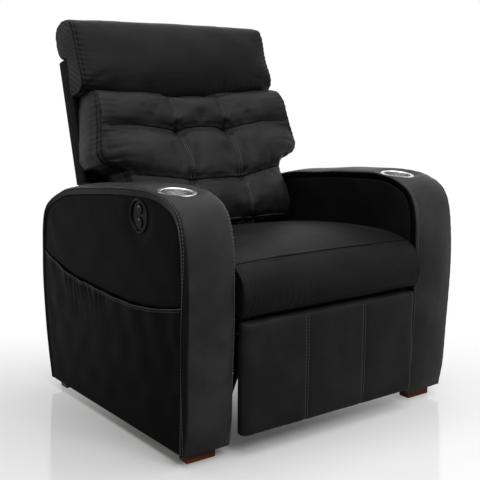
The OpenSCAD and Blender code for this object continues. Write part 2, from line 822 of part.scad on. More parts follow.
// Carriage on the rail with a fork plate whose open slot takes a crank pin
module drive_fork(x, sleeve_y, pin, slot_low, prong_z, heel) {
    slot_r = rivet_r + fork_slot_extra;
    prong = slot_r + fork_prong;
    low = rail_z + rail_h + sleeve_clear;
    top = low + sleeve_wall;
    reach_y = pin[0] < sleeve_y ? [pin[0] - prong, sleeve_y + sleeve_l] : [sleeve_y, pin[0] + prong];
    color(dark_steel) {
        difference() {
            block(
                [x - rail_w / 2 - sleeve_clear - sleeve_wall, sleeve_y, rail_z - sleeve_clear - sleeve_wall],
                [x + rail_w / 2 + sleeve_clear + sleeve_wall, sleeve_y + sleeve_l, top]);
            block(
                [x - rail_w / 2 - sleeve_clear, sleeve_y - over, rail_z - sleeve_clear],
                [x + rail_w / 2 + sleeve_clear, sleeve_y + sleeve_l + over, rail_z + rail_h + sleeve_clear]);
        }
        plate_x(x - fork_t / 2, fork_t) difference() {
            union() {
                polygon([
                    [reach_y[0], low], [reach_y[1], low],
                    [reach_y[1], low + fork_strap], [reach_y[0], low + fork_strap]]);
                polygon([
                    [pin[0] - prong, low], [pin[0] + prong, low],
                    [pin[0] + prong, prong_z], [pin[0] - prong, prong_z]]);
                polygon([
                    [pin[0] - prong, low - heel[1]], [heel[0], low - heel[1]],
                    [heel[0], top], [pin[0] - prong, top]]);
            }
            bore([pin[0], slot_low], slot_r);
            polygon([[pin[0] - slot_r, slot_low], [pin[0] + slot_r, slot_low],
                [pin[0] + slot_r, prong_z + over], [pin[0] - slot_r, prong_z + over]]);
        }
    }
}
footrest_travel = 2 * crank_r * cos(180 + crank_angle);
footrest_sleeve_y = front_rail_y + cross_rail_t + footrest_travel + link_gap;
recline_sleeve_y = rear_rail_y - link_gap * 2 - sleeve_l;
slot_play = 1;
crank_low_z = drive_pivot[1] - crank_r - slot_play;
recline_low_z = hinge[1] - recline_crank_r - slot_play;

// Seat
seat_y1 = y_front + seat_d;
module seat_frame() {
    side_x = plate_x_out + soft_clear;
    outer_x = arm_x_in - soft_clear;
    notch_h = 12;
    color(birch) difference() {
        block([-outer_x, seat_frame_y0, frame_bottom], [outer_x, seat_frame_y1, frame_top]);
        block(
            [-side_x, seat_frame_y0 + seat_board_t, frame_bottom - over],
            [side_x, seat_frame_y1 - seat_board_t, frame_top + over]);
        both_sides() block(
            [layer(1) - link_gap, seat_frame_y0 - over, frame_bottom - over],
            [layer(1) + link_t + link_gap, seat_frame_y0 + seat_board_t + over, frame_bottom + notch_h]);
    }
}
// One zigzag spring wire laid from the front board to the rear board
wire_sides = 6;
bend_steps = 4;
spring_y0 = seat_frame_y0 + seat_board_t / 2;
spring_y1 = seat_frame_y1 - seat_board_t / 2;
spring_pitch = (spring_y1 - spring_y0) / spring_bends;
spring_run = spring_w / 2 - spring_pitch / 2;
function spring_route() = concat(
    [[0, spring_y0]],
    [for (i = [0:spring_bends - 1], k = [0:bend_steps])
        let (side = i % 2 == 0 ? 1 : -1, a = -90 + 180 * k / bend_steps,
            y = spring_y0 + (i + 0.5) * spring_pitch)
        [side * (spring_run + cos(a) * spring_pitch / 2), y + sin(a) * spring_pitch / 2]],
    [[0, spring_y1]]);
module seat_springs() {
    route = spring_route();
    z = frame_top + wire_rise / 2;
    gap = 2 * plate_x_out / (spring_count + 1);
    color(steel) for (k = [1:spring_count]) {
        x = k * gap - plate_x_out;
        loft([for (i = [0:len(route) - 1])
            let (d = unit(route[min(i + 1, len(route) - 1)] - route[max(i - 1, 0)]),
                p = route[i])
            [for (j = [0:wire_sides - 1])
                let (a = 360 * j / wire_sides)
                [x + p[0] + wire_d / 2 * cos(a) * d[1], p[1] - wire_d / 2 * cos(a) * d[0],
                    z + wire_d / 2 * sin(a)]]], true);
    }
}
// Side view of the cushion from its lower rear edge over the top to its lower front edge
seat_profile_shares = [
    [1, 0], [1, 0.52], [0.985, 0.70], [0.93, 0.80], [0.836, 0.86], [0.688, 0.912], [0.427, 0.985],
    [0.264, 1], [0.172, 0.96], [0.147, 0.915], [0.139, 0.885], [0.131, 0.905], [0.070, 0.83],
    [0.020, 0.63], [0, 0.36], [0.014, 0.11], [0.05, 0]
];
seat_station_shares = [0, 0.2, 0.4, 0.6, 0.78, 0.9, 0.955, 0.985, 1];
module seat_cushion() {
    profile = curve([for (s = seat_profile_shares) [s[0], s[1]]], 2);
    half = seat_w / 2;
    stations = concat([for (i = [8:-1:1]) -seat_station_shares[i]], seat_station_shares);
    rings = [for (u = stations)
        let (x = u * half, k = clamp01((abs(x) - half + seat_end_round) / seat_end_round),
            inset = seat_end_round * (1 - sqrt(1 - k * k * 0.98)) * 0.8,
            swell = 1 - u * u)
        [for (s = profile)
            let (y = y_front + s[0] * seat_d,
                top = smooth((s[1] - 0.5) * 2) * smooth(s[0] * 4) * smooth((1 - s[0]) * 3),
                z = seat_z + clamp01(s[1]) * seat_t + seat_crown * swell * top,
                middle_y = y_front + seat_d / 2)
            [x, middle_y + (y - middle_y) * (1 - inset * 2 / seat_d),
                seat_z + (z - seat_z) * (1 - inset / seat_t)]]];
    color(leather) loft(rings);
}

// The back's own frame: x across, s up the slope from hinge height, n forwards out of its rear plane
head_start_share = 0.79333;
head_s = back_len * head_start_share;
head_n = 10;
// Headrest outline from its inner step over the rear lip, the top roll and the front
head_roll_shares = [
    [0.557, 0.14], [0.61, 0.05], [0.72, 0.005], [0.86, 0.01], [0.965, 0.11], [1, 0.38], [0.97, 0.62],
    [0.875, 0.82], [0.70, 0.94], [0.50, 1], [0.25, 0.98], [0.08, 0.88], [0, 0.70]
];
head_roll = curve([for (s = head_roll_shares) [head_s + s[0] * head_len, head_n + s[1] * head_t]], 2);
back_y = y_rear - max([for (p = head_roll) p[0] * sin(back_tilt) - p[1] * cos(back_tilt)]);
function back_point(x, s, n) = [
    x,
    back_y + s * sin(back_tilt) - n * cos(back_tilt),
    hinge_z + s * cos(back_tilt) + n * sin(back_tilt)];
module back_place(n) {
    translate([0, back_y, hinge_z]) rotate([90 - back_tilt, 0, 0]) translate([0, 0, n]) children();
}
shell_foot = -30;
shell_step_share = 0.38667;
shell_step = back_len * shell_step_share;
shell_ramp = 16;
shell_corner = 5;
function shell_outline(margin) =
    let (wide = shell_half_w - margin, low = shell_low_half_w - margin,
        top = back_len - margin, foot = shell_foot + margin, step = shell_step + margin)
    let (half = [[low, foot], [low, step], [wide, step + shell_ramp], [wide, top - shell_corner],
            [wide - shell_corner, top]])
    concat(half, [for (i = [len(half) - 1:-1:0]) [-half[i][0], half[i][1]]]);
module back_shell() {
    color(leather) difference() {
        back_place(0) linear_extrude(shell_t) polygon(shell_outline(0));
        back_place(shell_wall) linear_extrude(shell_t) {
            polygon(shell_outline(shell_wall));
            translate([-shell_low_half_w + shell_wall, shell_foot - over, 0])
                square([2 * (shell_low_half_w - shell_wall), shell_step - shell_foot]);
        }
    }
}
stile_w = 30;
frame_half_w = layer(1);
frame_foot = -34;
frame_n = shell_wall;
frame_t = shell_t - shell_wall - soft_clear;
frame_ply = 15;
module back_frame() {
    top = back_len - shell_wall - soft_clear;
    gap = shell_wall + soft_clear;
    color(birch) back_place(frame_n) {
        linear_extrude(frame_ply) polygon(shell_outline(gap));
        for (side = [-1, 1]) {
            x0 = side > 0 ? frame_half_w - stile_w : -frame_half_w;
            translate([x0, frame_foot, 0]) cube([stile_w, top - frame_foot, frame_t]);
        }
        for (s = [frame_foot, shell_step + shell_ramp * 2, top - stile_w])
            translate([-frame_half_w, s, 0]) cube([2 * frame_half_w, stile_w, frame_t]);
    }
}
module back_brackets() {
    arm_s = 70;
    strap_w = 26;
    bracket_eye_share = 0.7;
    inner_share = 0.75;
    foot_share = 0.65;
    eye_r = link_w * bracket_eye_share;
    inner = back_point(0, arm_s, frame_n + frame_t * inner_share);
    foot = back_point(0, frame_foot + strap_w, frame_n + frame_t * foot_share);
    color(dark_steel) both_sides() plate_x(layer(1), link_t) difference() {
        union() {
            bar([hinge[0], hinge[1]], [foot[1], foot[2]], strap_w);
            bar([hinge[0], hinge[1]], [inner[1], inner[2]], strap_w);
            bar([foot[1], foot[2]], [inner[1], inner[2]], strap_w);
            bore(hinge, eye_r);
        }
        bore(hinge, rivet_r + run_clear);
    }
}
module recline_crank() {
    cheek_t = link_t;
    gap = fork_t / 2 + link_gap;
    foot = back_point(0, frame_foot, frame_n + frame_t / 2);
    slant = link_w / 2 * tan(back_tilt);
    color(dark_steel) {
        for (x = [-drive_x - gap - cheek_t, -drive_x + gap])
            plate_x(x, cheek_t) {
                bore(recline_pin, link_w / 2);
                polygon([
                    recline_pin + [-link_w / 2, 0], recline_pin + [link_w / 2, 0],
                    [foot[1] + link_w / 2, foot[2] - slant], [foot[1] - link_w / 2, foot[2] + slant]]);
            }
        rod_x(-drive_x - gap - cheek_t, -drive_x + gap + cheek_t, recline_pin, rivet_r);
    }
}

// Headrest: one cushion that laps over the top of the shell
head_front_crown = 16;
head_sag_share = 0.04;
head_sag = back_len * head_sag_share;
head_end_round = 11;
module headrest_cushion() {
    seat_n = shell_t + soft_clear;
    step_s = back_len + soft_clear;
    inner = [
        [head_s, seat_n], [step_s, seat_n],
        [step_s, head_n + head_t * 0.14]];
    profile = concat(inner, [for (p = head_roll) [max(p[0], p[1] < seat_n ? step_s : 0), p[1]]]);
    stations = concat([for (i = [8:-1:1]) -seat_station_shares[i]], seat_station_shares);
    middle_s = head_s + head_len / 2;
    middle_n = head_n + head_t / 2;
    rings = [for (u = stations)
        let (x = u * head_half_w, k = clamp01((abs(x) - head_half_w + head_end_round) / head_end_round),
            inset = head_end_round * (1 - sqrt(1 - k * k * 0.98)) * 0.8,
            swell = 1 - u * u)
        [for (i = [0:len(profile) - 1])
            let (p = profile[i], fixed = i < 3,
                front = p[1] > seat_n + head_t * 0.2 ? smooth((p[1] - seat_n) / head_t) : 0,
                low = smooth(1 - (p[0] - head_s) / (head_len * 0.4)),
                s = p[0] - head_sag * swell * low,
                n = p[1] + head_front_crown * swell * front)
            fixed ? back_point(x, s, p[1])
                : back_point(x, middle_s + (s - middle_s) * (1 - inset / head_len * 2 * (s > middle_s ? 1 : 0)),
                    n > middle_n ? n - inset * (n - middle_n) / middle_n : n)]];
    color(leather) loft(rings);
}

// Lumbar cushion: rows up the back, each a front surface with tufts, two sides and a flat rear
lumbar_start_share = 0.12667;
lumbar_len_share = 0.61667;
lumbar_s = back_len * lumbar_start_share;
lumbar_len = back_len * lumbar_len_share;
// Share of length, then the forward swell in shares of thickness
lumbar_swell_shares = [
    [0, 0.34], [0.04, 0.49], [0.13, 0.51], [0.26, 0.43], [0.359, 0.29], [0.45, 0.32], [0.55, 0.27],
    [0.66, 0.12], [0.76, -0.06], [0.85, 0.05], [0.93, 0.03], [1, -0.08]
];
// Share of length, then half width as a share of the wings
lumbar_width_shares = [
    [0, 0.80], [0.06, 0.835], [0.13, 0.85], [0.24, 0.82], [0.34, 0.775], [0.42, 0.80], [0.49, 0.97],
    [0.55, 1.01], [0.62, 1], [0.76, 0.965], [0.9, 0.925], [1, 0.87]
];
// Share of length, then how much of the thickness stands
lumbar_full_shares = [
    [0, 0.62], [0.025, 0.85], [0.07, 0.97], [0.13, 1], [0.87, 1], [0.93, 0.93], [0.97, 0.78], [1, 0.55]
];
// Share of length, then how far a row rises from the tufts to the sides
lumbar_rise_shares = [[0, 0], [0.2, 0.02], [0.359, 0.083], [0.56, 0.075], [0.76, 0.068], [1, 0.052]];
lumbar_row_shares = [
    0, 0.025, 0.07, 0.13, 0.19, 0.25, 0.30, 0.337, 0.359, 0.381, 0.42, 0.455, 0.49, 0.53, 0.58,
    0.64, 0.70, 0.738, 0.76, 0.782, 0.81, 0.84, 0.87, 0.93, 0.97, 1
];
low_row_share = 0.359;
high_row_share = 0.76;
high_row_arch = 11;
seam_width = 9;
seam_share = 0.45;
lumbar_inner_shares = [0, 0.4, 0.78, 0.9, 1, 1.1, 1.22, 1.6];
lumbar_outer_shares = [0.3, 0.6, 0.85, 0.96, 1];
gusset_bulge = 8;
function lumbar_rise(x, half, f) =
    let (out = clamp01((abs(x) - tuft_x) / (half - tuft_x)),
        between = max(0, 1 - x * x / tuft_x / tuft_x))
    lookup(f, lumbar_rise_shares) * lumbar_len * out
        + high_row_arch * between * bell((f - high_row_share) * 6);
function lumbar_front(x, half, f) =
    let (u = min(1, abs(x) / half),
        swell = lookup(f, lumbar_swell_shares) * lumbar_t * (1 - pow(u, 2.6)),
        low_row = bell((f - low_row_share) * lumbar_len / seam_width),
        high_row = bell((f - high_row_share) * lumbar_len / seam_width),
        row_seam = seam_share * max(low_row, high_row) * (1 - pow(u, 6)),
        upright = seam_share * bell((abs(x) - tuft_x) / seam_width) * smooth((0.80 - f) * 20),
        tuft = bell(norm([(abs(x) - tuft_x), (f - low_row_share) * lumbar_len]) / (2 * seam_width))
            + bell(norm([(abs(x) - tuft_x), (f - high_row_share) * lumbar_len]) / (2 * seam_width)))
    lumbar_t + swell - tuft_depth * max(tuft, max(row_seam, upright));
module lumbar_cushion() {
    back_n = shell_t + soft_clear;
    rings = [for (f = lumbar_row_shares)
        let (half = lookup(f, lumbar_width_shares) * lumbar_half_w,
            full = lookup(f, lumbar_full_shares),
            inner = [for (k = lumbar_inner_shares) k * tuft_x],
            outer = [for (k = lumbar_outer_shares) mix(inner[len(inner) - 1], half, k)],
            xs = concat(inner, outer),
            all_x = concat([for (i = [len(xs) - 1:-1:1]) -xs[i]], xs),
            s = lumbar_s + f * lumbar_len,
            side_s = s + lumbar_rise(half, half, f))
        concat(
            [for (x = all_x)
                back_point(x, s + lumbar_rise(x, half, f), back_n + lumbar_front(x, half, f) * full)],
            [for (k = [[1, 0.72], [1, 0.3], [0, 0]])
                back_point(half + k[0] * gusset_bulge * full, side_s, back_n + lumbar_t * k[1] * full)],
            [for (x = [tuft_x, 0, -tuft_x])
                back_point(x, s + lumbar_rise(x, half, f), back_n)],
            [for (k = [[0, 0], [1, 0.3], [1, 0.72]])
                back_point(-half - k[0] * gusset_bulge * full, side_s, back_n + lumbar_t * k[1] * full)])];
    middles = [for (k = [0, 1]) back_point(0, lumbar_s + k * lumbar_len, back_n + lumbar_t / 3)];
    color(leather) loft(rings, false, middles);
}

module right_arm_frame() right_side() arm_frame();
module left_arm_frame() arm_frame();
module right_arm_band() right_side() arm_band();
module left_arm_band() arm_band();
module right_arm_outer_panel() {
    color(dark_leather) right_side() difference() {
        arm_panel(ply_x_out, outer_panel_t);
        pocket_recess();
        control_well();
    }
}
module left_arm_outer_panel() {
    color(dark_leather) arm_panel(ply_x_out, outer_panel_t);
}
module right_arm_inner_panel() {
    color(dark_leather) right_side() arm_panel(arm_x_in, inner_panel_t);
}
module left_arm_inner_panel() {
    color(dark_leather) arm_panel(arm_x_in, inner_panel_t);
}
module right_cup_holder() right_side() cup_holder();
module left_cup_holder() cup_holder();
module open_button() push_button(1);
module close_button() push_button(-1);
module front_right_foot() right_side() foot(true);
module front_left_foot() foot(true);
module rear_right_foot() right_side() foot(false);
module rear_left_foot() foot(false);
module front_cross_rail() cross_rail(front_rail_y);
module rear_cross_rail() cross_rail(rear_rail_y);
module right_seat_rail() right_side() seat_rail();
module left_seat_rail() seat_rail();
module right_side_plate() right_side() side_plate();
module left_side_plate() side_plate();
module footrest_rail() drive_rail(drive_x);
module footrest_gearmotor() gearmotor(drive_x, rear_rail_y - box_d - link_gap - gearbox_l);
module footrest_fork() {
    heel = [front_rail_y - link_gap, fork_heel];
    drive_fork(drive_x, footrest_sleeve_y, crank_pin, crank_low_z, crank_pin[1] + rivet_r * 2, heel);
}
module recline_rail() drive_rail(-drive_x);
module recline_gearmotor() gearmotor(-drive_x, front_rail_y + cross_rail_t + link_gap);
module recline_fork() {
    heel = [recline_pin[0], 0];
    drive_fork(-drive_x, recline_sleeve_y, recline_pin, recline_low_z, recline_pin[1] + rivet_r * 2, heel);
}

right_arm_frame();
right_arm_band();
right_arm_outer_panel();
right_arm_inner_panel();
left_arm_frame();
left_arm_band();
left_arm_outer_panel();
left_arm_inner_panel();
right_cup_holder();
left_cup_holder();
side_pocket();
control_bezel();
open_button();
close_button();
front_right_foot();
front_left_foot();
rear_right_foot();
rear_left_foot();
front_cross_rail();
rear_cross_rail();
rear_panel();
power_inlet();
control_box();
right_seat_rail();
left_seat_rail();
right_side_plate();
left_side_plate();
fixed_rivets();
seat_frame();
seat_springs();
seat_cushion();
torque_tube();
drive_links();
drive_link_rivets();
front_links();
front_link_rivets();
lower_links();
lower_link_rivets();
stay_links();
rest_brackets();
rest_bracket_rivets();
rest_board();
rest_pad();
footrest_rail();
footrest_gearmotor();
footrest_fork();
recline_rail();
recline_gearmotor();
recline_fork();
back_frame();
back_brackets();
recline_crank();
back_shell();
lumbar_cushion();
headrest_cushion();
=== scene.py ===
"""Looks of a powered recliner seat for a cinema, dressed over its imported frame.

The frame gives the sizes, places and joints. This file makes the leather covers, cushions,
welts and stitches that stand for the frame's soft solids, gives every part its finish, and
sets a plain studio. Lengths are millimetres until a mesh is made. The tables for the arms
and the pocket's edge are the ones that the construction uses. Those for the seat and the
headrest start from the construction's and follow the photograph a little further.
"""

import logging
import math
from dataclasses import dataclass, field
from enum import Enum
from typing import Callable, Sequence

import bmesh
import bpy
import numpy as np
from mathutils import Matrix, Vector
from mathutils.bvhtree import BVHTree


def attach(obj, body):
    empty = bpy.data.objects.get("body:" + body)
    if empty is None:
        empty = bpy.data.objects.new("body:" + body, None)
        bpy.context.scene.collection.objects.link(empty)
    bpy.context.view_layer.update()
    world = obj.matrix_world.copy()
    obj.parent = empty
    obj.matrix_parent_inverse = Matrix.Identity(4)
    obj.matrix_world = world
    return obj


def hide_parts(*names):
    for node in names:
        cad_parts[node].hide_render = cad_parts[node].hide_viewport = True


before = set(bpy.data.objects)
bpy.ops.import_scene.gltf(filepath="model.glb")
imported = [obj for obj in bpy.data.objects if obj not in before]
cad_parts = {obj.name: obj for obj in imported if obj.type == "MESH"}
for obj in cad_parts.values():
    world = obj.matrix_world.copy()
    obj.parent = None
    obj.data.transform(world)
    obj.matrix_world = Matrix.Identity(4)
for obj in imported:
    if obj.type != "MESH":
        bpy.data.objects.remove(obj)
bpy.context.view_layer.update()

log = logging.getLogger("recliner")
Points = np.ndarray
Table = Sequence[Sequence[float]]
Measure = Callable[[Points], np.ndarray]
MM = 0.001


class Body(str, Enum):
    """The moving bodies that a piece can ride on."""

    BASE = "chair_base"
    FOOTREST = "footrest"
    BACK = "back"
    OPEN_BUTTON = "open_button_body"
    CLOSE_BUTTON = "close_button_body"


class Slot(str, Enum):
    """The frame's material slots."""

    LEATHER = "upholstery_leather"
    BIRCH = "birch_plywood"
    STAINED_WOOD = "stained_wood"
    STAINLESS = "stainless_steel"
    GLOSS = "gloss_black_plastic"
    BUTTON = "button_plastic"
    MATT = "black_plastic"
    PAINTED = "painted_steel"
    ZINC = "zinc_steel"


# Numbers and curves


def spline(points: Table, steps: int) -> Points:
    """A smooth curve through points.

    Args:
        points: The points to pass through.
        steps: Steps in each span.

    Returns:
        The curve's points, one row each.
    """
    p = np.asarray(points, dtype=float)
    n = len(p)
    t = (np.arange(steps) / steps)[:, None]
    spans = []
    for i in range(n - 1):
        a, b, c, d = p[max(i - 1, 0)], p[i], p[i + 1], p[min(i + 2, n - 1)]
        spans.append(
            (2 * b + (c - a) * t + (2 * a - 5 * b + 4 * c - d) * t * t + (3 * b - a - 3 * c + d) * t**3) / 2
        )
    return np.vstack(spans + [p[-1:]])


def smooth(t: np.ndarray | float) -> np.ndarray:
    """Eases a value from 0 to 1."""
    c = np.clip(t, 0.0, 1.0)
    return c * c * (3 - 2 * c)


def bell(t: np.ndarray) -> np.ndarray:
    """A round hump of height 1 about 0."""
    return np.exp(-np.square(t))


def mix(a: np.ndarray, b: np.ndarray, t: np.ndarray) -> np.ndarray:
    """A value between a and b."""
    return a + (b - a) * t


def lookup(t: np.ndarray, table: Table) -> np.ndarray:
    """Reads a table of key and value at t."""
    rows = np.asarray(table, dtype=float)
    return np.interp(t, rows[:, 0], rows[:, 1])


def in_box(shares: Table, low: Sequence[float], size: Sequence[float]) -> Points:
    """Points given as shares of a box, in place."""
    return np.asarray(low) + np.asarray(shares, dtype=float) * np.asarray(size)


def wave(at: np.ndarray, length: float, *bends: tuple[float, float]) -> np.ndarray:
    """Waves between -1 and 1 along a distance.

    Args:
        at: The distances.
        length: The length of one wave.
        bends: Pairs of strength and reach that make the waves uneven.

    Returns:
        The wave's height at each distance.
    """
    turn = 2 * np.pi * at / length
    for strength, reach in bends:
        turn = turn + strength * np.sin(at / reach)
    return np.sin(turn)


def normals_2d(path: Points) -> Points:
    """Outward normals of an open path that runs clockwise round its inside."""
    d = np.gradient(path, axis=0)
    d[0], d[-1] = path[1] - path[0], path[-1] - path[-2]
    d /= np.linalg.norm(d, axis=1)[:, None]
    return np.column_stack([-d[:, 1], d[:, 0]])


def shifted(path: Points, distance: float) -> Points:
    """Moves a path sideways, and keeps the height of its two ends."""
    out = path + distance * normals_2d(path)
    out[0, 1], out[-1, 1] = path[0, 1], path[-1, 1]
    return out


def lengths(path: Points) -> np.ndarray:
    """Distance along a path at each of its points."""
    return np.concatenate([[0.0], np.cumsum(np.linalg.norm(np.diff(path, axis=0), axis=1))])


def resampled(path: Points, count: int) -> Points:
    """The same path with evenly spaced points."""
    along = lengths(path)
    at = np.linspace(0, along[-1], count)
    return np.column_stack([np.interp(at, along, path[:, k]) for k in range(path.shape[1])])


def eased(count: int, edge: float) -> np.ndarray:
    """Shares from 0 to 1 that lie closer together near both ends."""
    t = np.linspace(0, 1, count)
    return mix(t, (1 - np.cos(np.pi * t)) / 2, edge)


def crosswise(count: int, power: float) -> np.ndarray:
    """Shares from -1 to 1 that lie closer together near both ends."""
    x = np.linspace(-1, 1, count)
    return np.sign(x) * (1 - (1 - np.abs(x)) ** power)


def end_inset(x: np.ndarray, half: float, end_round: float) -> np.ndarray:
    """How far a cushion's rounded ends draw in its other sides."""
    k = np.clip((np.abs(x) - half + end_round) / end_round, 0, 1)
    return end_round * (1 - np.sqrt(1 - k * k * 0.98)) * 0.8


@dataclass(frozen=True)
class Ripple:
    """Soft uneven waves, the same on each run."""

    height: float
    wavelength: float
    seed: int
    waves: int = 7

    def at(self, points: Points) -> np.ndarray:
        """Height of the waves at each point."""
        rng = np.random.default_rng(self.seed)
        total = np.zeros(len(points))
        for _ in range(self.waves):
            direction = rng.normal(size=points.shape[1])
            direction *= 2 * np.pi / (np.linalg.norm(direction) * self.wavelength * rng.uniform(0.6, 1.7))
            total += np.sin(points @ direction + rng.uniform(0, 2 * np.pi))
        return self.height * total / math.sqrt(self.waves)


@dataclass(frozen=True)
class Fold:
    """A crease or ridge in leather along a line, deepest near its start."""

    line: Table
    width: float
    depth: float
    fade: float = 1.0

    def at(self, flat: Points) -> np.ndarray:
        """Depth of the fold at points given in the line's own plane."""
        line = spline(self.line, 6)
        along = lengths(line) / max(lengths(line)[-1], 1e-6)
        depth = np.zeros(len(flat))
        for i in range(len(line) - 1):
            a, d = line[i], line[i + 1] - line[i]
            t = np.clip(((flat - a) @ d) / max(d @ d, 1e-9), 0, 1)
            near = np.linalg.norm(flat - a - t[:, None] * d, axis=1)
            strength = 1 - self.fade * smooth(along[i] + t * (along[i + 1] - along[i]))
            depth = np.maximum(depth, bell(near / self.width) * strength)
        return self.depth * depth


# Meshes


def grid_faces(rows: int, columns: int, wrap: bool = False, first: int = 0) -> list[tuple[int, ...]]:
    """Faces of a grid of points.

    Args:
        rows: Number of rows.
        columns: Points in a row.
        wrap: Whether each row closes on itself.
        first: Index of the grid's first point.

    Returns:
        One tuple of indices per face.
    """
    faces = []
    for i in range(rows - 1):
        for j in range(columns if wrap else columns - 1):
            k = (j + 1) % columns
            faces.append(
                (first + i * columns + j, first + i * columns + k, first + (i + 1) * columns + k,
                 first + (i + 1) * columns + j)
            )
    return faces


def new_mesh(name: str, points: Points, faces: Sequence[Sequence[int]]) -> bpy.types.Object:
    """Makes a smooth mesh with its faces outwards.

    Args:
        name: Name of the piece.
        points: Points in millimetres.
        faces: Tuples of indices.

    Returns:
        The new object, at the origin.
    """
    mesh = bpy.data.meshes.new(name)
    mesh.from_pydata((np.asarray(points) * MM).tolist(), [], faces)
    work = bmesh.new()
    work.from_mesh(mesh)
    bmesh.ops.remove_doubles(work, verts=work.verts, dist=1e-6)
    bmesh.ops.dissolve_degenerate(work, edges=work.edges, dist=1e-7)
    bmesh.ops.recalc_face_normals(work, faces=work.faces)
    for face in work.faces:
        face.smooth = True
    work.to_mesh(mesh)
    work.free()
    piece = bpy.data.objects.new(name, mesh)
    bpy.context.scene.collection.objects.link(piece)
    return piece


def loft(name: str, rings: Points, middles: Points | None = None) -> bpy.types.Object:
    """A closed skin over rings of points.

    Args:
        name: Name of the piece.
        rings: Array of rings, points and coordinates.
        middles: The first and last end's middle points.

    Returns:
        The closed piece.
    """
    n, m, _ = rings.shape
    ends = np.array([rings[0].mean(0), rings[-1].mean(0)]) if middles is None else np.asarray(middles)
    faces = grid_faces(n, m, wrap=True)
    faces += [(j, (j + 1) % m, n * m) for j in range(m)]
    faces += [((n - 1) * m + j, (n - 1) * m + (j + 1) % m, n * m + 1) for j in range(m)]
    return new_mesh(name, np.vstack([rings.reshape(-1, 3), ends]), faces)


def slab(name: str, front: Points, back: Points) -> bpy.types.Object:
    """A closed pad between two grids of points with the same layout."""
    rows, columns, _ = front.shape
    count = rows * columns
    index = np.arange(count).reshape(rows, columns)
    rim = np.concatenate([index[0], index[1:, -1], index[-1, -2::-1], index[-2:0:-1, 0]])
    faces = grid_faces(rows, columns)
    faces += [tuple(reversed(f)) for f in grid_faces(rows, columns, first=count)]
    faces += [(int(a), int(b), int(b) + count, int(a) + count) for a, b in zip(rim, np.roll(rim, -1))]
    return new_mesh(name, np.vstack([front.reshape(-1, 3), back.reshape(-1, 3)]), faces)


def tube(name: str, path: Points, radius: float, sides: int = 10) -> bpy.types.Object:
    """A round cord sewn along a path, closed at both ends."""
    d = np.gradient(path, axis=0)
    d /= np.linalg.norm(d, axis=1)[:, None]
    up = np.eye(3)[np.argmin(np.abs(d).mean(axis=0))]
    side = np.cross(d, up)
    side /= np.maximum(np.linalg.norm(side, axis=1)[:, None], 1e-9)
    other = np.cross(side, d)
    angles = np.linspace(0, 2 * np.pi, sides, endpoint=False)
    rings = path[:, None, :] + radius * (
        side[:, None, :] * np.cos(angles)[None, :, None] + other[:, None, :] * np.sin(angles)[None, :, None]
    )
    return loft(name, rings)


def lathe_cutter(name: str, outline: Table, place: Callable[[Points], Points],
                 sides: int = 96) -> bpy.types.Object:
    """A turned body for cutting, from an outline of radius and height."""
    angles = np.linspace(0, 2 * np.pi, sides, endpoint=False)
    rings = np.stack([
        np.column_stack([r * np.cos(angles), r * np.sin(angles), np.full(sides, z)]) for r, z in outline
    ])
    return loft(name, place(rings.reshape(-1, 3)).reshape(rings.shape))


def cut_away(piece: bpy.types.Object, cutter: bpy.types.Object) -> None:
    """Cuts one closed piece out of another and removes the cutter."""
    modifier = piece.modifiers.new("cut", "BOOLEAN")
    modifier.operation, modifier.solver, modifier.object = "DIFFERENCE", "EXACT", cutter
    bake_modifiers(piece)
    bpy.data.objects.remove(cutter)


def bake_modifiers(piece: bpy.types.Object) -> None:
    """Turns a piece's modifiers into its plain mesh."""
    bpy.context.view_layer.update()
    graph = bpy.context.evaluated_depsgraph_get()
    result = bpy.data.meshes.new_from_object(
        piece.evaluated_get(graph), preserve_all_data_layers=True, depsgraph=graph)
    piece.modifiers.clear()
    old = piece.data
    piece.data = result
    bpy.data.meshes.remove(old)


def positions(piece: bpy.types.Object) -> Points:
    """A mesh's points in millimetres."""
    out = np.empty(len(piece.data.vertices) * 3)
    piece.data.vertices.foreach_get("co", out)
    return out.reshape(-1, 3) / MM


def set_positions(piece: bpy.types.Object, points: Points) -> None:
    """Moves a mesh's points, given in millimetres."""
    piece.data.vertices.foreach_set("co", (points * MM).ravel())
    piece.data.update()


def surface_normals(piece: bpy.types.Object) -> Points:
    """A mesh's outward normals, point by point."""
    out = np.empty(len(piece.data.vertices) * 3)
    piece.data.vertices.foreach_get("normal", out)
    return out.reshape(-1, 3)


def press(piece: bpy.types.Object, depth: Measure) -> None:
    """Presses a mesh inwards along its normals by a depth for each point."""
    points = positions(piece)
    set_positions(piece, points - surface_normals(piece) * depth(points)[:, None])


def calmed(piece: bpy.types.Object, values: Points, rounds: int) -> Points:
    """Values on a mesh's points, averaged with their neighbours a few times."""
    count = len(piece.data.vertices)
    pairs = np.empty(len(piece.data.edges) * 2, dtype=np.int64)
    piece.data.edges.foreach_get("vertices", pairs)
    a, b = pairs.reshape(-1, 2).T
    near = np.bincount(np.concatenate([a, b]), minlength=count)[:, None]
    for _ in range(rounds):
        total = np.stack([
            np.bincount(a, values[b, k], count) + np.bincount(b, values[a, k], count) for k in range(3)
        ], axis=1)
        values = values * 0.5 + total / near * 0.5
    return values


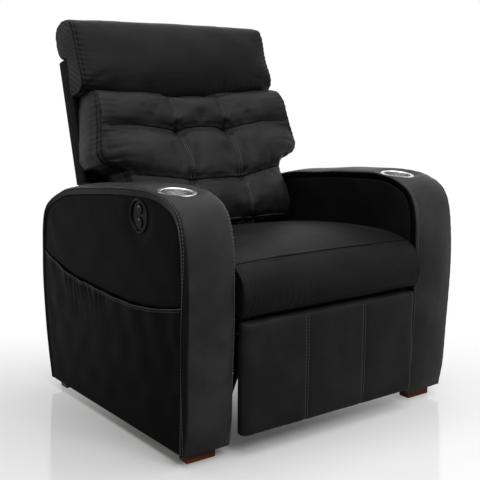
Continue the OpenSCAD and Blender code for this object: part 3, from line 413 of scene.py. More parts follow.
def laid_on(piece: bpy.types.Object, line: Points, towards: Sequence[float], lift: float = 0.25,
            reach: float = 60.0) -> Points:
    """A seam line dropped onto a finished piece.

    Args:
        piece: The piece.
        line: Points near its surface, in millimetres.
        towards: The direction in which they drop.
        lift: How far they stay above the surface.
        reach: How far before and behind each point the surface is looked for.

    Returns:
        The points that meet the surface.
    """
    tree = BVHTree.FromObject(piece, bpy.context.evaluated_depsgraph_get())
    way = np.asarray(towards, dtype=float)
    found = []
    for point in line:
        hit, normal, _, _ = tree.ray_cast(Vector((point - way * reach) * MM), Vector(way), 2 * reach * MM)
        if hit is not None:
            found.append(np.array(hit) / MM + np.array(normal) * lift)
    return np.array(found)


# How firmly leather is held, as the share of the start inset that it is spared
HELD_FAST, HELD_PARTLY, HELD_LIGHTLY = 1.0, 0.6, 0.25
# How strongly the cloth pins leather that is held, but not fast
WEAK_PIN = 0.25


@dataclass(frozen=True)
class Stuffing:
    """How a cushion's leather is blown up by its filling.

    Args:
        voxel: Size of the remeshed faces.
        pressure: Pressure inside the cloth.
        frames: Frames that the cloth runs.
        cap: The most that a point may move.
        slack: Share by which the leather is cut too large.
        start_inset: How far free leather starts inside its place.
        calm: Rounds of averaging of the movement.
        fullness: How far the 90 per cent mark of the movement comes out.
    """

    voxel: float = 6.0
    pressure: float = 4.0
    frames: int = 20
    cap: float = 22.0
    slack: float = 0.03
    start_inset: float = 5.0
    calm: int = 6
    fullness: float = 8.0

    def fill(self, piece: bpy.types.Object, held: Measure) -> None:
        """Remeshes a cushion, swells it and leaves a plain mesh.

        Args:
            piece: The closed cushion.
            held: Gives how firmly the leather is held at each point, from 0 to HELD_FAST.
        """
        remesh = piece.modifiers.new("remesh", "REMESH")
        remesh.mode, remesh.voxel_size, remesh.use_smooth_shade = "VOXEL", self.voxel * MM, True
        bake_modifiers(piece)
        self.swell(piece, held)
        finer = piece.modifiers.new("finer", "SUBSURF")
        finer.levels = finer.render_levels = 1
        bake_modifiers(piece)

    def swell(self, piece: bpy.types.Object, held: Measure) -> None:
        """Runs the cloth under pressure and keeps its result.

        Args:
            piece: The remeshed cushion.
            held: Gives how firmly the leather is held at each point.
        """
        hold = np.clip(held(positions(piece)), 0, 1)
        press(piece, lambda p: self.start_inset * (1 - hold))
        start = positions(piece)
        group = piece.vertex_groups.new(name="held")
        fast = hold == HELD_FAST
        for picked, pin in ((fast, 1.0), ((hold > 0) & ~fast, WEAK_PIN)):
            group.add(np.flatnonzero(picked).tolist(), pin, "REPLACE")
        cloth = piece.modifiers.new("cloth", "CLOTH")
        use = cloth.settings
        use.quality, use.mass, use.air_damping = 5, 0.3, 1.5
        use.tension_stiffness = use.compression_stiffness = 18.0
        use.shear_stiffness, use.bending_stiffness = 6.0, 0.35
        use.use_pressure, use.uniform_pressure_force = True, self.pressure
        use.shrink_min = -self.slack
        use.vertex_group_mass = "held"
        use.effector_weights.gravity = 0.0
        cloth.point_cache.frame_start, cloth.point_cache.frame_end = 1, self.frames
        cloth.collision_settings.use_collision = False
        scene = bpy.context.scene
        for number in range(1, self.frames + 1):
            scene.frame_set(number)
        bake_modifiers(piece)
        scene.frame_set(1)
        moved = calmed(piece, positions(piece) - start, self.calm)
        far = np.linalg.norm(moved, axis=1)
        moved *= self.fullness / max(float(np.percentile(far, 90)), 1.0)
        far = np.linalg.norm(moved, axis=1)
        moved *= np.minimum(1, self.cap / np.maximum(far, 1e-9))[:, None]
        set_positions(piece, start + moved)
        piece.vertex_groups.clear()
        shares = np.percentile(far, (25, 50, 75, 95, 100)).round(1)
        log.info("%s swelled by %s mm at the 25, 50, 75, 95 and 100 per cent marks", piece.name, shares)


def dress(piece: bpy.types.Object, finish: bpy.types.Material, body: Body, slot: Slot,
          stands_for: Sequence[str] = ()) -> None:
    """Gives a piece its finish and its body, and hides the solids that it stands for."""
    piece.data.materials.clear()
    piece.data.materials.append(finish)
    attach(piece, body.value)
    if stands_for:
        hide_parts(*stands_for)
    log.info("%s: %d faces on %s", piece.name, len(piece.data.polygons), body.value)


# Shader values


class Value:
    """A number that changes over a surface; arithmetic on it adds Math nodes."""

    def __init__(self, tree: "ShaderTree", socket: bpy.types.NodeSocket) -> None:
        """Wraps a socket."""
        self.tree, self.socket = tree, socket

    def _with(self, operation: str, first: "Value | float", second: "Value | float") -> "Value":
        """Adds a Math node on two values."""
        node = self.tree.node("ShaderNodeMath", {"operation": operation}, {0: first, 1: second})
        return Value(self.tree, node.outputs[0])

    def __add__(self, other: "Value | float") -> "Value":
        """Sum."""
        return self._with("ADD", self, other)

    def __sub__(self, other: "Value | float") -> "Value":
        """Difference."""
        return self._with("SUBTRACT", self, other)

    def __mul__(self, other: "Value | float") -> "Value":
        """Product."""
        return self._with("MULTIPLY", self, other)

    def between(self, low: float, high: float) -> "Value":
        """0 at low and 1 at high, eased and held outside."""
        node = self.tree.node(
            "ShaderNodeMapRange", {"interpolation_type": "SMOOTHSTEP"},
            {0: self, 1: low, 2: high, 3: 0.0, 4: 1.0})
        return Value(self.tree, node.outputs[0])


# Name of the attribute that marks where painted shade darkens a piece's sides
PAINTED_SHADE_SHARE = "painted_shade_share"


class ShaderTree:
    """One material's nodes."""

    def __init__(self, name: str) -> None:
        """Starts an empty material with one main shader."""
        self.material = bpy.data.materials.new(name)
        self.material.use_nodes = True
        self.nodes = self.material.node_tree.nodes
        self.nodes.clear()
        self.output = self.nodes.new("ShaderNodeOutputMaterial")

    def node(self, kind: str, settings: dict[str, object], inputs: dict[object, object]) -> bpy.types.Node:
        """Adds a node.

        Args:
            kind: The node's type.
            settings: Settings, which are set first.
            inputs: Values or links by socket name or index.

        Returns:
            The node.
        """
        made = self.nodes.new(kind)
        for key, value in settings.items():
            setattr(made, key, value)
        for key, value in inputs.items():
            socket = made.inputs[key]
            if isinstance(value, Value):
                value = value.socket
            if isinstance(value, bpy.types.NodeSocket):
                self.material.node_tree.links.new(value, socket)
            else:
                socket.default_value = value
        return made

    def place(self, scale: Sequence[float] = (1, 1, 1)) -> bpy.types.NodeSocket:
        """Object coordinates, scaled."""
        at = self.node("ShaderNodeTexCoord", {}, {}).outputs["Object"]
        return self.node("ShaderNodeMapping", {}, {"Vector": at, "Scale": tuple(scale)}).outputs[0]

    def noise(self, where: bpy.types.NodeSocket, scale: float, detail: float = 3.0,
              rough: float = 0.55) -> Value:
        """Soft noise between 0 and 1."""
        made = self.node(
            "ShaderNodeTexNoise", {}, {"Vector": where, "Scale": scale, "Detail": detail, "Roughness": rough})
        return Value(self, made.outputs["Fac"])

    def cells(self, where: bpy.types.NodeSocket, scale: float) -> Value:
        """Distance from the edges in a pattern of small cells."""
        made = self.node(
            "ShaderNodeTexVoronoi", {"feature": "DISTANCE_TO_EDGE"}, {"Vector": where, "Scale": scale})
        return Value(self, made.outputs["Distance"])

    def colour(self, low: Sequence[float], high: Sequence[float], amount: Value) -> bpy.types.NodeSocket:
        """A colour between two colours."""
        made = self.node("ShaderNodeMix", {"data_type": "RGBA"}, {0: amount})
        made.inputs[6].default_value = (*low, 1.0)
        made.inputs[7].default_value = (*high, 1.0)
        return made.outputs[2]

    def shaded(self, base: bpy.types.NodeSocket, other: Sequence[float],
               amount: Value) -> bpy.types.NodeSocket:
        """A colour pattern that gives way to a plain colour."""
        made = self.node("ShaderNodeMix", {"data_type": "RGBA"}, {0: amount, 6: base})
        made.inputs[7].default_value = (*other, 1.0)
        return made.outputs[2]

    def bump(self, height: Value, distance: float, strength: float = 1.0,
             under: bpy.types.NodeSocket | None = None) -> bpy.types.NodeSocket:
        """A bumped normal."""
        inputs: dict[object, object] = {"Height": height, "Distance": distance, "Strength": strength}
        if under is not None:
            inputs["Normal"] = under
        return self.node("ShaderNodeBump", {}, inputs).outputs[0]

    def finish(self, inputs: dict[object, object]) -> bpy.types.Material:
        """Adds the main shader and returns the material."""
        shader = self.node("ShaderNodeBsdfPrincipled", {}, inputs)
        self.material.node_tree.links.new(shader.outputs[0], self.output.inputs[0])
        return self.material


# Finishes


@dataclass(frozen=True)
class Leather:
    """Corrected-grain hide, dyed near black, with pebbles, fine creases and uneven dye, and painted shade on
    the sides that a piece marks.
    """

    name: str = "black_leather"
    deep: tuple[float, float, float] = (0.0085, 0.0085, 0.009)
    worn: tuple[float, float, float] = (0.0185, 0.0185, 0.0195)
    roughness: float = 0.42
    specular: float = 0.075
    grain: float = 0.00012
    creases: float = 0.0005
    # Painted shade: the colour taken where a piece marks its sides, on the band's sides that face away from
    # the light
    painted_side_shade: tuple[float, float, float] = (0.0024, 0.0024, 0.0026)

    def make(self) -> bpy.types.Material:
        """Builds the material; a piece's own share attribute paints shade on its sewn-in sides."""
        tree = ShaderTree(self.name)
        where = tree.place()
        shares = tree.node("ShaderNodeAttribute", {"attribute_name": PAINTED_SHADE_SHARE}, {})
        side = Value(tree, shares.outputs["Fac"])
        blotches = tree.noise(where, 9.0, 4.0, 0.6)
        fine = tree.noise(where, 160.0, 3.0, 0.6)
        pebbles = tree.cells(where, 620.0).between(0.0, 0.22)
        wrinkles = tree.noise(tree.place((1.0, 1.0, 2.2)), 34.0, 5.0, 0.62)
        dye = blotches.between(0.38, 0.68) * 0.6 + fine * 0.35
        low = tree.bump(wrinkles, self.creases, 0.6)
        normal = tree.bump(pebbles * 0.8 + fine * 0.3, self.grain, 0.8, low)
        return tree.finish({
            "Base Color": tree.shaded(tree.colour(self.deep, self.worn, dye), self.painted_side_shade, side),
            "Roughness": blotches * 0.16 + (self.roughness - 0.08) + fine * 0.06 - pebbles * 0.05,
            "Specular IOR Level": self.specular,
            "Normal": normal,
        })


@dataclass(frozen=True)
class Thread:
    """Bonded sewing thread, a shade lighter than the leather."""

    name: str = "sewing_thread"
    dark: tuple[float, float, float] = (0.05, 0.05, 0.052)
    light: tuple[float, float, float] = (0.12, 0.12, 0.122)

    def make(self) -> bpy.types.Material:
        """Builds the material."""
        tree = ShaderTree(self.name)
        twist = tree.noise(tree.place(), 1500.0, 2.0)
        return tree.finish({
            "Base Color": tree.colour(self.dark, self.light, twist),
            "Roughness": twist * 0.2 + 0.5,
            "Normal": tree.bump(twist, 0.0001),
        })


@dataclass(frozen=True)
class StainedWood:
    """Foot blocks of beech with a reddish stain and thin lacquer."""

    name: str = "stained_wood"
    dark: tuple[float, float, float] = (0.040, 0.009, 0.003)
    light: tuple[float, float, float] = (0.150, 0.040, 0.012)

    def make(self) -> bpy.types.Material:
        """Builds the material."""
        tree = ShaderTree(self.name)
        streaks = tree.noise(tree.place((6.0, 90.0, 90.0)), 1.6, 6.0, 0.6)
        pores = tree.noise(tree.place((40.0, 700.0, 700.0)), 1.0, 2.0)
        return tree.finish({
            "Base Color": tree.colour(self.dark, self.light, streaks.between(0.3, 0.72) * 0.9 + pores * 0.1),
            "Roughness": streaks * 0.2 + 0.32,
            "Specular IOR Level": 0.12,
            "Coat Weight": 0.08,
            "Coat Roughness": 0.18,
            "Normal": tree.bump(pores, 0.00012, 0.6),
        })


@dataclass(frozen=True)
class Plywood:
    """Sanded birch ply with its layers showing at the edges."""

    name: str = "birch_plywood"
    dark: tuple[float, float, float] = (0.33, 0.21, 0.11)
    light: tuple[float, float, float] = (0.62, 0.46, 0.29)
    specular: float = 0.4

    def make(self) -> bpy.types.Material:
        """Builds the material."""
        tree = ShaderTree(self.name)
        grain = tree.noise(tree.place((30.0, 4.0, 5.0)), 3.0, 6.0, 0.62)
        pores = tree.noise(tree.place((300.0, 30.0, 30.0)), 2.0, 3.0)
        layers = tree.noise(tree.place((650.0, 2.0, 2.0)), 1.0, 1.0)
        return tree.finish({
            "Base Color": tree.colour(self.dark, self.light, grain * 0.6 + layers.between(0.4, 0.6) * 0.4),
            "Roughness": grain * 0.2 + 0.5,
            "Specular IOR Level": self.specular,
            "Normal": tree.bump(grain * 0.5 + pores * 0.5, 0.0002, 0.6),
        })


@dataclass(frozen=True)
class BrushedSteel:
    """Metal with turned or rolled marks and faint wear."""

    name: str
    dark: tuple[float, float, float]
    light: tuple[float, float, float]
    roughness: float
    stretch: tuple[float, float, float] = (4.0, 4.0, 260.0)

    def make(self) -> bpy.types.Material:
        """Builds the material."""
        tree = ShaderTree(self.name)
        marks = tree.noise(tree.place(self.stretch), 3.0, 4.0, 0.6)
        wear = tree.noise(tree.place(), 26.0, 4.0, 0.6)
        return tree.finish({
            "Base Color": tree.colour(self.dark, self.light, marks * 0.5 + wear * 0.5),
            "Metallic": 1.0,
            "Roughness": marks * 0.12 + wear * 0.1 + (self.roughness - 0.1),
            "Normal": tree.bump(marks, 0.00005, 0.5),
        })


@dataclass(frozen=True)
class Moulded:
    """Moulded plastic or powder coat, from mirror gloss to fine texture."""

    name: str
    dark: tuple[float, float, float]
    light: tuple[float, float, float]
    roughness: float
    texture: float
    specular: float = 0.22

    def make(self) -> bpy.types.Material:
        """Builds the material."""
        tree = ShaderTree(self.name)
        speck = tree.noise(tree.place(), 900.0, 3.0, 0.6)
        handling = tree.noise(tree.place(), 30.0, 4.0, 0.6)
        return tree.finish({
            "Base Color": tree.colour(self.dark, self.light, handling * 0.6 + speck * 0.4),
            "Roughness": handling.between(0.35, 0.75) * 0.1 + (self.roughness - 0.05) + speck * 0.05,
            "Specular IOR Level": self.specular,
            "Normal": tree.bump(speck, self.texture, 0.7),
        })


class Finishes:
    """Every finish, made once."""

    def __init__(self) -> None:
        """Builds the materials."""
        self.leather = Leather().make()
        # Painted shade: a darker copy of the leather for the seat, the inner panels and the headrest
        self.seat_leather_painted_shade = Leather(
            "seat_leather_painted_shade", (0.0044, 0.0044, 0.0046), (0.0100, 0.0100, 0.0104), specular=0.06).make()
        # Painted light: a lighter copy of the leather for the arm bands, which catch the lamps
        self.arm_leather_painted_light = Leather(
            "arm_leather_painted_light", (0.0165, 0.0165, 0.017), (0.035, 0.035, 0.036), specular=0.085).make()
        # Painted shade: a much darker copy of the leather for the outer sides, the pocket, the back's shell
        # and the frame's leather solids
        self.painted_shade_leather = Leather(
            "painted_shade_leather", (0.0022, 0.0022, 0.0024), (0.0065, 0.0065, 0.0070), 0.5, 0.02).make()
        # Painted shade: near-black leather for the seam edges, darker than the leather round them, standing
        # for the shade in the grooves
        self.seam = Leather(
            "seam_groove_painted_shade", (0.0010, 0.0010, 0.0010), (0.0026, 0.0026, 0.0027), 0.6, 0.02).make()
        # Painted highlight: a lighter copy of the leather for welts and hems, standing for the light along
        # their rounded tops
        self.piping = Leather(
            "piping_leather", (0.028, 0.028, 0.029), (0.055, 0.055, 0.057), 0.45, 0.1).make()
        self.thread = Thread().make()
        self.wood = StainedWood().make()
        self.ply = Plywood().make()
        # Near-black ply for the boards that show in the gaps under and between the cushions
        self.black_ply = Plywood(
            "near_black_plywood", (0.003, 0.003, 0.003), (0.009, 0.0088, 0.0085), 0.08).make()
        self.stainless = BrushedSteel(
            "stainless_steel", (0.60, 0.60, 0.61), (0.84, 0.84, 0.85), 0.26, (3.0, 3.0, 320.0)).make()
        self.zinc = BrushedSteel("zinc_steel", (0.34, 0.35, 0.36), (0.62, 0.63, 0.65), 0.36).make()
        self.painted = Moulded(
            "painted_steel", (0.012, 0.012, 0.013), (0.028, 0.028, 0.03), 0.46, 0.00012).make()
        self.gloss = Moulded(
            "gloss_black_plastic", (0.0012, 0.0012, 0.0012), (0.0028, 0.0028, 0.0028), 0.2, 0.00001,
            specular=0.04).make()
        self.button = Moulded(
            "button_plastic", (0.0026, 0.0026, 0.0027), (0.0050, 0.0050, 0.0052), 0.34, 0.00004,
            specular=0.05).make()
        self.matt = Moulded(
            "black_plastic", (0.0022, 0.0022, 0.0023), (0.0050, 0.0050, 0.0052), 0.5, 0.0001,
            specular=0.05).make()
        self.mark = Moulded("pale_mark", (0.34, 0.34, 0.34), (0.46, 0.46, 0.46), 0.5, 0.00002).make()

    def for_slot(self) -> dict[str, bpy.types.Material]:
        """The finish for each slot of the frame."""
        # The leather slot takes the darkest copy of the leather, which is painted shade
        return {
            Slot.LEATHER.value: self.painted_shade_leather, Slot.BIRCH.value: self.ply,
            Slot.STAINED_WOOD.value: self.wood, Slot.STAINLESS.value: self.stainless,
            Slot.GLOSS.value: self.gloss, Slot.BUTTON.value: self.button, Slot.MATT.value: self.matt,
            Slot.PAINTED.value: self.painted, Slot.ZINC.value: self.zinc,
        }


# Stitches


class StitchTree:
    """Geometry Nodes that lay short thread stitches along seam lines."""

    SIZES = (("Pitch", 0.0085), ("Half length", 0.0031), ("Radius", 0.00065))

    def __init__(self, finish: bpy.types.Material) -> None:
        """Builds the tree."""
        self.tree = bpy.data.node_groups.new("stitch_rows", "GeometryNodeTree")
        face = self.tree.interface
        face.new_socket("Geometry", in_out="INPUT", socket_type="NodeSocketGeometry")
        self.keys = {}
        for name, size in self.SIZES:
            socket = face.new_socket(name, in_out="INPUT", socket_type="NodeSocketFloat")
            socket.default_value = size
            self.keys[name] = socket.identifier
        face.new_socket("Geometry", in_out="OUTPUT", socket_type="NodeSocketGeometry")
        entry = self._add("NodeGroupInput", {}, {})
        lines = self._add("GeometryNodeMeshToCurve", {}, {"Mesh": entry.outputs["Geometry"]})
        spots = self._add(
            "GeometryNodeCurveToPoints", {"mode": "LENGTH"},
            {"Curve": lines.outputs["Curve"], "Length": entry.outputs["Pitch"]})
        size = self._add("ShaderNodeCombineXYZ", {}, {
            "X": entry.outputs["Radius"], "Y": entry.outputs["Radius"], "Z": entry.outputs["Half length"]})
        ball = self._add("GeometryNodeMeshUVSphere", {}, {"Segments": 6, "Rings": 4, "Radius": 1.0})
        stitch = self._add(
            "GeometryNodeTransform", {}, {"Geometry": ball.outputs["Mesh"], "Scale": size.outputs[0]})
        laid = self._add("GeometryNodeInstanceOnPoints", {}, {
            "Points": spots.outputs["Points"], "Instance": stitch.outputs["Geometry"],
            "Rotation": spots.outputs["Rotation"]})
        real = self._add("GeometryNodeRealizeInstances", {}, {"Geometry": laid.outputs["Instances"]})
        done = self._add(
            "GeometryNodeSetMaterial", {}, {"Geometry": real.outputs["Geometry"], "Material": finish})
        self._add("NodeGroupOutput", {}, {"Geometry": done.outputs["Geometry"]})

    def _add(self, kind: str, settings: dict[str, object], inputs: dict[str, object]) -> bpy.types.Node:
        """Adds one node to the tree."""
        made = self.tree.nodes.new(kind)
        for key, value in settings.items():
            setattr(made, key, value)
        for key, value in inputs.items():
            if isinstance(value, bpy.types.NodeSocket):
                self.tree.links.new(value, made.inputs[key])
            else:
                made.inputs[key].default_value = value
        return made

    def sew(self, name: str, lines: Sequence[Points], body: Body) -> None:
        """Lays stitches along lines, as one plain mesh.

        Args:
            name: Name of the piece.
            lines: Seam lines in millimetres.
            body: The body that they ride on.
        """
        points = np.vstack(lines)
        edges, first = [], 0
        for line in lines:
            edges += [(first + i, first + i + 1) for i in range(len(line) - 1)]
            first += len(line)
        mesh = bpy.data.meshes.new(name)
        mesh.from_pydata((points * MM).tolist(), edges, [])
        piece = bpy.data.objects.new(name, mesh)
        bpy.context.scene.collection.objects.link(piece)
        modifier = piece.modifiers.new("stitches", "NODES")
        modifier.node_group = self.tree
        for socket_name, size in self.SIZES:
            modifier[self.keys[socket_name]] = size
        bake_modifiers(piece)
        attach(piece, body.value)
        log.info("%s: %d faces of stitches", name, len(piece.data.polygons))


# Arms


# Shares of depth and height, from the front foot over the top to the rear foot
ARM_OUTLINE = (
    (0.020, 0), (0.012, 0.195), (0.004, 0.472), (0, 0.706), (0.007, 0.841), (0.034, 0.928),
    (0.089, 0.974), (0.188, 1), (0.377, 0.991), (0.516, 0.976), (0.746, 0.944), (0.829, 0.920),
    (0.907, 0.880), (0.962, 0.826), (0.986, 0.745), (0.995, 0.622), (1, 0.474), (0.984, 0.227),
    (0.952, 0),
)
# Shares of half width, outward bulge and crown, from the inner side to the outer side
BAND_CROSS = (
    (-1, 0, 0), (-1, 0, 0.26), (-0.92, 0, 0.56), (-0.72, 0, 0.82), (-0.38, 0, 0.97), (0, 0, 1),
    (0.38, 0, 0.97), (0.74, 0, 0.84), (0.95, 0.5, 0.62), (1, 1, 0.30), (1, 0, 0),
)
# Shares of the arm's depth and height, from rear to front
POCKET_EDGE = (
    (1.06, 0.650), (0.98, 0.620), (0.86, 0.580), (0.76, 0.553), (0.56, 0.537), (0.42, 0.530), (0.28, 0.532),
    (0.17, 0.547), (0.083, 0.567), (0.010, 0.588), (-0.06, 0.610),
)


def edge_distance(points: Points, line: Points) -> np.ndarray:
    """Distance of flat points from a line of short straight pieces."""
    out = np.full(len(points), 1e9)
    for a, b in zip(line[:-1], line[1:]):
        d = b - a
        t = np.clip(((points - a) @ d) / max(d @ d, 1e-9), 0, 1)
        out = np.minimum(out, np.linalg.norm(points - a - t[:, None] * d, axis=1))
    return out


@dataclass
class Arm:
    """One arm: a padded band over a box, with a soft panel on each side."""

    side: int
    name: str
    depth: float = 733.0
    height: float = 585.0
    width: float = 131.0
    front_y: float = -387.5
    floor_z: float = 27.0
    out_x: float = 425.0
    band_t: float = 12.0
    crown: float = 22.0
    side_bulge: float = 6.0
    belly_out: float = 7.0
    belly_in: float = 2.0
    panel_sink: float = 2.0
    edge_sink: float = 1.2
    outer_t: float = 14.0
    outer_puff: float = 3.0
    inner_t: float = 8.0
    inner_puff: float = 1.6
    cup_setback: float = 129.0
    cup_tilt: float = 7.0
    cup_r: float = 38.0
    flange_r: float = 46.1
    cup_dip: float = 26.0
    pucker: float = 0.35
    clearance: float = 0.3
    # How far in from each side of the band the painted shade begins
    painted_shade_strip: float = 3.5
    stitch_insets: tuple[float, float] = (9.0, 14.0)
    path: Points = field(init=False)
    inner_path: Points = field(init=False)

    def __post_init__(self) -> None:
        """Draws the outline and works out the places that follow from the sizes."""
        self.path = spline(self.in_outline(ARM_OUTLINE), 12)
        self.inner_path = shifted(self.path, -self.band_t)
        self.mid_x = self.out_x - self.width / 2
        self.in_x = self.out_x - self.width
        self.panel_x = self.out_x - self.panel_sink
        self.panel_back_x = self.panel_x - self.outer_t + self.clearance
        top = self.path[self.path[:, 1] > self.floor_z + self.height * 0.91]
        self.cup_y = self.front_y + self.cup_setback
        self.cup_z = float(np.interp(self.cup_y, top[:, 0], top[:, 1]))

    def in_outline(self, shares: Table) -> Points:
        """Points of the arm's side, given as shares of its depth and height."""
        return in_box(shares, (self.front_y, self.floor_z), (self.depth, self.height))

    def turned(self, points: Points) -> Points:
        """Points of the arm at +X moved to this arm's side."""
        return points * np.array([self.side, 1.0, 1.0])

    def cup_plane(self, y: np.ndarray) -> np.ndarray:
        """Height of the flat seat of the cup's flange."""
        return self.cup_z + (y - self.cup_y) * math.tan(math.radians(self.cup_tilt))

    def band_rings(self) -> Points:
        """Rings of the band along the arm, each closed by its inner side."""
        path, inner, cross = self.path, self.inner_path, spline(BAND_CROSS, 5)
        normal, along = normals_2d(path), lengths(path)
        behind = smooth((path[:, 0] - self.front_y) / self.depth * 4 - 2.6)
        on_top = smooth((path[:, 1] - self.floor_z) / self.height * 3 - 2)
        crown = self.crown * mix(1, 0.55, on_top) * mix(1, 0.35, behind)
        crown = crown * smooth((path[:, 1] - self.floor_z) / self.width + 0.4)
        bulge = self.side_bulge * mix(1, 0.2, behind)
        belly = bell((path[:, 1] - self.height / 2) / 190) * (1 - behind)
        u, push, rise = cross[:, 0][None, :], cross[:, 1][None, :], cross[:, 2][None, :]
        x = self.mid_x + u * self.width / 2 + push * bulge[:, None]
        x = x + push * belly[:, None] * np.where(push > 0, self.belly_out, self.belly_in)
        a = along[:, None]
        edge = bell((1 - np.abs(u)) / 0.2) * smooth(rise * 3)
        puckers = np.sin(2 * np.pi * a / 31 + 2.2 * np.sin(a / 83) + 1.3 * np.sign(u)) * edge
        flat = np.stack([np.broadcast_to(a, x.shape).ravel(), x.ravel()], axis=1)
        loose = Ripple(0.9, 150.0, 11 + self.side).at(flat).reshape(x.shape) * smooth(rise * 2)
        lift = crown[:, None] * rise + self.pucker * puckers * mix(1, 0.4, behind)[:, None] + loose
        y = path[:, 0][:, None] + normal[:, 0][:, None] * lift
        z = path[:, 1][:, None] + normal[:, 1][:, None] * lift
        far = np.hypot(x - self.mid_x, y - self.cup_y)
        upper = path[:, 1] > self.floor_z + self.height / 2
        held = (1 - smooth((far - self.flange_r) / self.cup_dip)) * upper[:, None]
        z = np.maximum(mix(z, self.cup_plane(y) + 0.5, held), self.floor_z)
        skin = np.stack([x, y, z], axis=2)
        back = np.stack([
            np.column_stack([np.full(len(inner), at), inner]) for at in (self.out_x, self.in_x)
        ], axis=1)
        return np.concatenate([skin, back], axis=1)

    def cup_place(self, points: Points) -> Points:
        """Points drawn about the cup's axis, in place on this arm."""
        a = math.radians(self.cup_tilt)
        turn = np.array([[1, 0, 0], [0, math.cos(a), -math.sin(a)], [0, math.sin(a), math.cos(a)]])
        return self.turned(points @ turn.T + np.array([self.mid_x, self.cup_y, self.cup_z]))

    def build_band(self, finishes: Finishes) -> list[Points]:
        """Makes the band with its cup opening.

        Args:
            finishes: The finishes.

        Returns:
            The seam lines that are stitched.
        """
        rings = self.band_rings()
        piece = loft(f"{self.name}_band_cover", self.turned(rings))
        cut_away(piece, lathe_cutter("cup_bore", (
            (0, -40), (self.cup_r, -40), (self.cup_r, 0), (self.flange_r, 0.02), (self.flange_r, 70), (0, 70)
        ), self.cup_place))
        # Painted shade: a share attribute that darkens the strips along both sides of the band, which face
        # away from the light
        across = np.abs(positions(piece)[:, 0])
        outer = across - self.out_x + self.painted_shade_strip
        inner = self.in_x + self.painted_shade_strip - across
        shade = smooth(outer / 3) + smooth(inner / 3)
        shares = piece.data.attributes.new(PAINTED_SHADE_SHARE, "FLOAT", "POINT")
        shares.data.foreach_set("value", shade.astype(np.float32))
        # The band takes a lighter copy of the leather, which is painted light
        dress(piece, finishes.arm_leather_painted_light, Body.BASE, Slot.LEATHER, [f"{self.name}_band"])
        count = rings.shape[1] - 2
        lines = []
        for order in (np.arange(count), np.arange(count)[::-1]):
            skin = rings[:, order]
            for inset in self.stitch_insets:
                line = []
                for ring in skin:
                    at = lengths(ring)
                    line.append([np.interp(inset, at, ring[:, k]) for k in range(3)])
                lines.append(self.turned(np.array(line)))
        return lines

    def sheet_x(self, flat: Points, face_x: float, sink: float, puff: float, seed: int) -> np.ndarray:
        """How far out a soft panel stands at flat points.

        Args:
            flat: Points in Y and Z.
            face_x: The panel's plane.
            sink: How far its sewn edge lies inside the plane.
            puff: How far its middle stands out.
            seed: Seed of its ripples.

        Returns:
            The distance in X, measured as face_x is.
        """
        d = edge_distance(flat, np.vstack([self.inner_path, self.inner_path[:1]]))
        loose = Ripple(0.7, 130.0, seed).at(flat) + Ripple(0.35, 40.0, seed + 1).at(flat) * bell(d / 45)
        return face_x - sink * np.exp(-d / 3.5) + puff * (1 - np.exp(-d / 32)) + loose * smooth(d / 25)

    def sheet(self, name: str, upper: Points, lower: Points, front_x: Measure, back_x: Measure,
              rows: int = 44) -> bpy.types.Object:
        """A soft sheet drawn between two lines, closed behind."""
        v = eased(rows, 0.7)[:, None, None]
        flat = mix(upper[None], lower[None], v)
        points = flat.reshape(-1, 2)
        shape = (*flat.shape[:2], 3)
        front = np.column_stack([front_x(points), points]).reshape(shape)
        back = np.column_stack([back_x(points), points]).reshape(shape)
        return slab(name, self.turned(front), self.turned(back))

    def whole_panel(self, name: str, face_x: float, back_x: float, outwards: int, puff: float,
                    seed: int) -> bpy.types.Object:
        """A plain soft panel that fills the arm's side."""
        count = 190
        return self.sheet(
            name, resampled(self.inner_path, count), resampled(self.inner_path[[0, -1]], count),
            lambda p: face_x + outwards * self.sheet_x(p, 0.0, self.edge_sink, puff, seed),
            lambda p: np.full(len(p), back_x))

    def build_inner_panel(self, finishes: Finishes) -> None:
        """Makes the soft panel towards the seat."""
        back_x = self.in_x + self.inner_t - self.clearance
        piece = self.whole_panel(
            f"{self.name}_inner_cover", self.in_x, back_x, -1, self.inner_puff, 31)
        # The inner panel takes a darker copy of the leather, which is painted shade
        dress(piece, finishes.seat_leather_painted_shade, Body.BASE, Slot.LEATHER, [f"{self.name}_inner_panel"])

    def build_outer_panel(self, finishes: Finishes) -> None:
        """Makes the soft panel on the outside."""
        piece = self.whole_panel(
            f"{self.name}_outer_cover", self.panel_x, self.panel_back_x, 1, self.outer_puff, 41)
        # The darkest copy of the leather, which is painted shade
        dress(piece, finishes.painted_shade_leather, Body.BASE, Slot.LEATHER, [f"{self.name}_outer_panel"])


